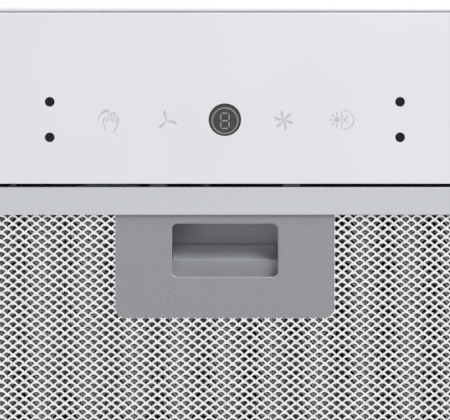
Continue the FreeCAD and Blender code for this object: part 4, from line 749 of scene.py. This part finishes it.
def light_and_timer_symbol(centre, line):
    """Half a sun and half a clock, either side of an upright bar."""
    sun = (centre[0] + SUN_X * MM, centre[1])
    clock = (centre[0] + CLOCK_X * MM, centre[1])
    pieces = [patch(arc_points(sun, SUN_RADIUS * MM, 0, 337.5, 15), PRINT_DEPTH, FASCIA_FACE)]
    for angle in (90, 135, 180, 225, 270):
        ray = [arc_points(sun, radius * MM, angle, angle, 1)[0] for radius in SUN_RAY]
        pieces.append(stroke(ray, 1.3 * line, PRINT_DEPTH, FASCIA_FACE, False))
    pieces.append(stroke(on_key(centre, BAR), line, PRINT_DEPTH, FASCIA_FACE, False))
    rim = arc_points(clock, CLOCK_RADIUS * MM, 93, -93, 24)
    pieces.append(stroke(rim, line, PRINT_DEPTH, FASCIA_FACE, False))
    pieces.append(patch(arc_points(clock, CLOCK_HUB * MM, 0, 330, 11), PRINT_DEPTH, FASCIA_FACE))
    for tip in CLOCK_HANDS:
        pieces.append(stroke(on_key(centre, ((CLOCK_X, 0.0), tip)), line, PRINT_DEPTH, FASCIA_FACE, False))
    printed(pieces, "symbol_light_timer")


class HOOD_OT_key_symbols(bpy.types.Operator):
    """Print the four key symbols on the glass"""
    bl_idname = "hood.key_symbols"
    bl_label = "Key symbols"

    def execute(self, context):
        settings = context.scene.hood_print
        printed_symbol()
        keys = {key: (key * settings.key_pitch, KEY_ROW_Y) for key in (-2, -1, 1, 2)}
        hand_symbol(keys[-2], settings.line)
        fan_symbol((keys[-1][0] + 0.1 * MM, keys[-1][1] + 0.35 * MM), 3, 1.0, "symbol_fan_low")
        fan_symbol((keys[1][0] + 0.15 * MM, keys[1][1] + 0.3 * MM), 6, 0.94, "symbol_fan_high")
        light_and_timer_symbol(keys[2], settings.line)
        return {"FINISHED"}


LAST_STEP = 360 * 63 / 64  # degrees of the last of 64 points round a circle
LENS_FLANGE = 0.8 * MM  # rim of the lens that is hidden behind the glass


def segment(start, end, width):
    """One bar of a seven-segment figure: a strip whose ends are cut to a point."""
    along = Vector((end[0] - start[0], end[1] - start[1])).normalized()
    across = Vector((-along.y, along.x)) * width / 2
    a, b = Vector(start), Vector(end)
    inset = along * width / 2
    outline = [a, a + inset + across, b - inset + across, b, b - inset - across, a + inset - across]
    return [(point.x, point.y) for point in outline]


class HOOD_OT_display(bpy.types.Operator):
    """Make the smoked window with its ring and figure"""
    bl_idname = "hood.display"
    bl_label = "Display"

    def execute(self, context):
        settings = context.scene.hood_print
        body, slot = BODY_OF["display_lens"], SLOT_OF["display_lens"]
        radius = (high("display_lens").x - low("display_lens").x) / 2 - LENS_FLANGE
        centre = (0.0, KEY_ROW_Y)
        disc = arc_points(centre, radius - settings.rim, 0, LAST_STEP, 63)
        dress(join([patch(disc, PRINT_DEPTH / 2, FASCIA_FACE)], "display_window"), smoked_display(), body)
        middle = (centre[0], centre[1] + settings.display_drop)
        # painted glow on the figure's unlit segments
        light = segment_painted_glow()
        circle = arc_points(middle, settings.ring_radius, 0, LAST_STEP, 63)
        ring = stroke(circle, settings.ring_width, PRINT_DEPTH, FASCIA_FACE - PRINT_DEPTH / 4, False, True)
        dress(join([ring], "display_ring"), ring_print(), body)
        w, h, t = settings.figure_width / 2, settings.figure_height / 2, settings.segment_width
        x, y, gap = w - t / 2, h - t / 2, t * 0.75
        bars = [((-x + gap, level), (x - gap, level)) for level in (-y, 0, y)]
        bars += [((side, start + gap), (side, start + y - gap)) for side in (-x, x) for start in (-y, 0)]
        pieces = []
        for bar in bars:
            start, end = [(middle[0] + right, middle[1] + back) for right, back in bar]
            pieces.append(patch(segment(start, end, t), PRINT_DEPTH / 2, FASCIA_FACE - PRINT_DEPTH / 4))
        dress(join(pieces, "display_figure"), light, body)
        return {"FINISHED"}


# ------------------------------------------------------------ softened edges
# widths of the rounded edges in millimetres
SOFT_EDGES = {
    "filter_frame": 0.22,
    "handle_plate": 0.25,
    "handle_back": 0.35,
    "latch_slide": 0.45,
    "outlet_collar": 0.3,
    "touch_housing": 0.3,
    "control_box": 0.4,
    "control_lid": 0.3,
    "motor_bracket": 0.3,
    "lamp_heatsink_left": 0.25,
    "lamp_heatsink_right": 0.25,
    "capacitor": 0.4,
    "casing_side_left": 0.15,
    "casing_side_right": 0.15,
    "cabinet_clips": 0.2,
    "flap_left": 0.2,
    "flap_right": 0.2,
}
SHARP = math.radians(35)  # edges that turn by more than this are rounded


class HOOD_OT_soft_edges(bpy.types.Operator):
    """Round the sharp edges of the moulded, folded and cast pieces"""
    bl_idname = "hood.soft_edges"
    bl_label = "Soft edges"

    def execute(self, context):
        share = context.scene.hood_edges.share
        for node, width in SOFT_EDGES.items():
            piece = copy_of(node, node + "_finished")
            edge = piece.modifiers.new("edge", "BEVEL")
            edge.width = width * share * MM
            edge.segments = 2
            edge.limit_method = "ANGLE"
            edge.angle_limit = SHARP
            apply_modifiers(piece)
            smooth(piece, 40)
            level = piece.modifiers.new("level", "WEIGHTED_NORMAL")
            level.keep_sharp = True
            apply_modifiers(piece)
            dress(piece, MATERIAL_OF[node], BODY_OF[node], [node])
        return {"FINISHED"}


class HOOD_OT_fascia_seal(bpy.types.Operator):
    """Lay the pale sealing bead in the joint between the glass and the tray's rim"""
    bl_idname = "hood.fascia_seal"
    bl_label = "Fascia seal"

    def execute(self, context):
        settings = context.scene.hood_edges
        near, far = low("glass_fascia"), high("glass_fascia")
        out = settings.seal_offset
        left, right, front = near.x - out, far.x + out, near.y - out
        corners = [(left, far.y), (left, front), (right, front), (right, far.y)]
        width = settings.seal_width
        bead = join([stroke(corners, width, width, near.z + settings.seal_depth, False)], "fascia_seal")
        smooth(bead, 60)
        dress(bead, MATERIAL_OF["bottom_tray"], BODY_OF["bottom_tray"])
        return {"FINISHED"}


# ------------------------------------------------------------ screws
SCREW_NODES = ("casing_screws", "handle_screws", "clip_screws", "motor_screws", "collar_screws")
THREAD_PITCH = 1.1 * MM
HEXAGON = 0.86  # reach of the hexagon's corners, in head radii
FLANGE = 0.3  # height of the flange under the hexagon, in head heights
ROOT = 0.78  # radius of the thread's root, in shank radii
TIP = 0.3  # length of the pointed tip, in shank lengths
HEAD_REACH = 0.8  # points that reach out further than this share of the widest belong to the head


def screw_master(length, radius, head_radius, head_height):
    """Hexagon-washer-head sheet screw standing on z = 0: head up, threaded shank down."""
    deselect()
    bpy.ops.mesh.primitive_cylinder_add(vertices=6, radius=head_radius * HEXAGON,
                                        depth=head_height * (1 - FLANGE),
                                        location=(0, 0, head_height * (1 + FLANGE) / 2))
    head = bpy.context.object
    bpy.ops.object.mode_set(mode="EDIT")
    bpy.ops.mesh.select_all(action="DESELECT")
    bpy.ops.object.mode_set(mode="OBJECT")
    for face in head.data.polygons:
        face.select = face.normal.z > 0.9
    bpy.ops.object.mode_set(mode="EDIT")
    bpy.ops.mesh.inset(thickness=head_radius * 0.16)
    bpy.ops.mesh.inset(thickness=head_radius * 0.14)
    bpy.ops.transform.translate(value=(0, 0, -head_height * 0.12))
    bpy.ops.object.mode_set(mode="OBJECT")
    settle(head)
    bpy.ops.mesh.primitive_cylinder_add(vertices=20, radius=head_radius, depth=head_height * FLANGE,
                                        location=(0, 0, head_height * FLANGE / 2))
    washer = bpy.context.object
    settle(washer)
    bpy.ops.mesh.primitive_cone_add(vertices=10, radius1=radius * 0.35, radius2=radius, depth=length * TIP,
                                    location=(0, 0, -length * (1 - TIP / 2)))
    tip = bpy.context.object
    settle(tip)
    turns = max(3, int(length / THREAD_PITCH))
    shank_points = []
    for index in range(turns * 2 + 1):
        depth = length * (1 - TIP) * index / (turns * 2)
        shank_points.append((radius * (1.0 if index % 2 else ROOT), -depth))
    profile = new_curve([(r, 0) for r, _ in shank_points], False, False)
    for point, (r, z) in zip(profile.data.splines[0].points, shank_points):
        point.co = (r, 0, z, 1)
    shank = to_mesh(profile, 0)
    bpy.ops.object.mode_set(mode="EDIT")
    bpy.ops.mesh.select_all(action="SELECT")
    bpy.ops.mesh.spin(steps=10, angle=math.tau, center=(0, 0, 0), axis=(0, 0, 1))
    bpy.ops.mesh.select_all(action="SELECT")
    bpy.ops.mesh.remove_doubles(threshold=MERGE)
    bpy.ops.mesh.normals_make_consistent(inside=False)
    bpy.ops.object.mode_set(mode="OBJECT")
    master = join([head, washer, tip, shank], "screw_master")
    smooth(master, 30)
    return master


def hexagon_error(size, axis):
    """How far a box's two extents across an axis are from a hexagon's flats and corners."""
    flats, corners = sorted(size[other] for other in range(3) if other != axis)
    return abs(flats / corners - math.cos(math.radians(30)))


def screw_places(node):
    """Seat, outward direction, shank length and head size of each screw, from the node's loose parts."""
    cad = copy_of(node, "screw_probe")
    places = []
    for numbers in islands(cad):
        points = [cad.data.vertices[index].co for index in numbers]
        lowest = Vector([min(point[axis] for point in points) for axis in range(3)])
        highest = Vector([max(point[axis] for point in points) for axis in range(3)])
        middle = (lowest + highest) / 2
        axis = min(range(3), key=lambda number: hexagon_error(highest - lowest, number))
        across = [other for other in range(3) if other != axis]
        reaches = [max(abs(point[other] - middle[other]) for other in across) for point in points]
        wide = max(reaches)
        heads = [point[axis] for point, reach in zip(points, reaches) if reach > wide * HEAD_REACH]
        start, stop = min(heads), max(heads)
        at_top = highest[axis] - stop < start - lowest[axis]
        seat = middle.copy()
        seat[axis] = start if at_top else stop
        outward = Vector([0, 0, 0])
        outward[axis] = 1 if at_top else -1
        shank = (start - lowest[axis]) if at_top else (highest[axis] - stop)
        places.append((seat, outward, shank, wide, stop - start))
    bpy.data.objects.remove(cad)
    return places


class HOOD_OT_screws(bpy.types.Operator):
    """Make the hexagon-washer-head screws in place of the plain ones"""
    bl_idname = "hood.screws"
    bl_label = "Screws"

    def execute(self, context):
        shank_radius = context.scene.hood_edges.screw_radius
        for node in SCREW_NODES:
            masters = {}
            pieces = []
            for seat, outward, length, wide, height in screw_places(node):
                key = round(length / MM, 1)
                if key not in masters:
                    masters[key] = screw_master(length, shank_radius, wide, height)
                piece = masters[key].copy()
                piece.data = masters[key].data.copy()
                bpy.context.scene.collection.objects.link(piece)
                piece.rotation_euler = outward.to_track_quat("Z", "Y").to_euler()
                piece.location = seat
                settle(piece)
                pieces.append(piece)
            for master in masters.values():
                bpy.data.objects.remove(master)
            whole = join(pieces, node + "_finished")
            dress(whole, MATERIAL_OF[node], BODY_OF[node], [node])
        return {"FINISHED"}


# ------------------------------------------------------------ finishes on the solid pieces
MATERIAL_OF = {}


class HOOD_OT_finishes(bpy.types.Operator):
    """Give every solid piece its material"""
    bl_idname = "hood.finishes"
    bl_label = "Finishes"

    def execute(self, context):
        for make, nodes in FINISHES:
            material = make()
            for node in nodes:
                MATERIAL_OF[node] = material
        for node, piece in frame["nodes"].items():
            piece.data.materials.clear()
            piece.data.materials.append(MATERIAL_OF[node])
        return {"FINISHED"}


# ------------------------------------------------------------ stage
def white_world(strength):
    """Even room light; the background itself is white to the eye, to mirrors and through glass."""
    world = bpy.data.worlds.new("room")
    bpy.context.scene.world = world
    world.use_nodes = True
    background = world.node_tree.nodes["Background"]
    background.inputs["Color"].default_value = (1, 1, 1, 1)
    path = add_node(world, "ShaderNodeLightPath").outputs
    seen = add_node(world, "ShaderNodeMath", {"operation": "MAXIMUM"},
                    {0: path["Is Camera Ray"], 1: path["Is Glossy Ray"]})
    through = add_node(world, "ShaderNodeMath", {"operation": "MAXIMUM"},
                       {0: seen.outputs["Value"], 1: path["Is Transmission Ray"]})
    level = add_node(world, "ShaderNodeMapRange", {"To Min": strength, "To Max": 1.0},
                     {"Value": through.outputs["Value"]})
    link(world, level.outputs["Result"], background.inputs["Strength"])


def pale_floor(size, height):
    """Pale floor that is seen from above only, so that the underside stays in view from below."""
    deselect()
    bpy.ops.mesh.primitive_grid_add(x_subdivisions=4, y_subdivisions=4, size=size, location=(0, 0, height))
    floor = bpy.context.object
    floor.name = "floor"
    settle(floor)
    material = bpy.data.materials.new("pale_floor")
    material.use_nodes = True
    shader = material.node_tree.nodes["Principled BSDF"]
    shader.inputs["Base Color"].default_value = colour("ececec")
    shader.inputs["Roughness"].default_value = 0.9
    clear = add_node(material, "ShaderNodeBsdfTransparent")
    side = add_node(material, "ShaderNodeNewGeometry")
    path = add_node(material, "ShaderNodeLightPath")
    above = add_node(material, "ShaderNodeMath", {"operation": "SUBTRACT"}, {1: side.outputs["Backfacing"]})
    above.inputs[0].default_value = 1.0
    seen = add_node(material, "ShaderNodeMath", {"operation": "MULTIPLY"},
                    {0: above.outputs["Value"], 1: path.outputs["Is Camera Ray"]})
    blend = add_node(material, "ShaderNodeMixShader",
                     links={0: seen.outputs["Value"], 1: clear.outputs["BSDF"], 2: shader.outputs["BSDF"]})
    link(material, blend.outputs["Shader"], material.node_tree.nodes["Material Output"].inputs["Surface"])
    floor.data.materials.append(material)


def soft_lamp(name, place, target, size, power):
    """Large square lamp turned towards a point."""
    lamp = bpy.data.objects.new(name, bpy.data.lights.new(name, "AREA"))
    lamp.data.size = size
    lamp.data.energy = power
    lamp.location = place
    lamp.rotation_euler = (Vector(target) - Vector(place)).to_track_quat("-Z", "Y").to_euler()
    bpy.context.scene.collection.objects.link(lamp)


# name, place, point it looks at, size in metres, share of the lamp power
LAMPS = (
    ("lamp_below_front", (1.1, -1.8, -0.72), (0, 0, 0), 1.1, 7.2),
    ("lamp_below_back", (-1.2, 1.6, -0.85), (0, 0, 0), 1.2, 2.6),
    ("lamp_above", (-0.9, -1.1, 1.9), (0, 0, 0.1), 1.6, 3.5),
)
SENSOR_WIDTH = 36.0  # of the camera, in millimetres
FLOOR_SIZE = 8.0
FLOOR_HEIGHT = -3.0 * MM


class HOOD_OT_stage(bpy.types.Operator):
    """Set up the camera below the hood, soft lamps, white room and floor"""
    bl_idname = "hood.stage"
    bl_label = "Stage"

    def execute(self, context):
        settings = context.scene.hood_stage
        scene = context.scene
        camera = bpy.data.objects.new("camera", bpy.data.cameras.new("camera"))
        scene.collection.objects.link(camera)
        camera.location = (settings.aim[0], settings.aim[1], -settings.distance)
        camera.rotation_euler = (math.pi, 0, 0)
        camera.data.sensor_fit = "HORIZONTAL"
        camera.data.sensor_width = SENSOR_WIDTH
        camera.data.lens = SENSOR_WIDTH * settings.distance / settings.picture_width
        camera.data.clip_start = 0.01
        camera.data.clip_end = 20.0
        scene.camera = camera
        scene.view_settings.view_transform = "Standard"
        white_world(settings.sky)
        for name, place, target, size, share in LAMPS:
            soft_lamp(name, place, target, size, settings.lamp * share)
        pale_floor(FLOOR_SIZE, FLOOR_HEIGHT)
        return {"FINISHED"}


# ------------------------------------------------------------ panel and registration
OPERATORS = (HOOD_OT_finishes, HOOD_OT_expanded_metal, HOOD_OT_soft_edges, HOOD_OT_fascia_seal, HOOD_OT_screws,
             HOOD_OT_key_symbols, HOOD_OT_display, HOOD_OT_stage)


class HOOD_PT_panel(bpy.types.Panel):
    bl_idname = "HOOD_PT_panel"
    bl_label = "Range hood insert"
    bl_space_type = "VIEW_3D"
    bl_region_type = "UI"
    bl_category = "Hood"

    def draw(self, context):
        for name in SETTINGS:
            box = self.layout.box()
            settings = getattr(context.scene, name)
            for field in settings.bl_rna.properties:
                if field.identifier not in {"rna_type", "name"}:
                    box.prop(settings, field.identifier)
        for operator in OPERATORS:
            self.layout.operator(operator.bl_idname)


SETTINGS = {
    "hood_mesh": HoodMeshSettings,
    "hood_print": HoodPrintSettings,
    "hood_edges": HoodEdgeSettings,
    "hood_stage": HoodStageSettings,
}


def register():
    for group in SETTINGS.values():
        bpy.utils.register_class(group)
    for operator in OPERATORS:
        bpy.utils.register_class(operator)
    bpy.utils.register_class(HOOD_PT_panel)
    for name, group in SETTINGS.items():
        setattr(bpy.types.Scene, name, PointerProperty(type=group))


def unregister():
    for name in SETTINGS:
        delattr(bpy.types.Scene, name)
    bpy.utils.unregister_class(HOOD_PT_panel)
    for operator in reversed(OPERATORS):
        bpy.utils.unregister_class(operator)
    for group in SETTINGS.values():
        bpy.utils.unregister_class(group)


def main():
    register()
    bpy.ops.hood.finishes()
    bpy.ops.hood.expanded_metal()
    bpy.ops.hood.soft_edges()
    bpy.ops.hood.fascia_seal()
    bpy.ops.hood.screws()
    bpy.ops.hood.key_symbols()
    bpy.ops.hood.display()
    bpy.ops.hood.stage()


if __name__ == "__main__":
    main()
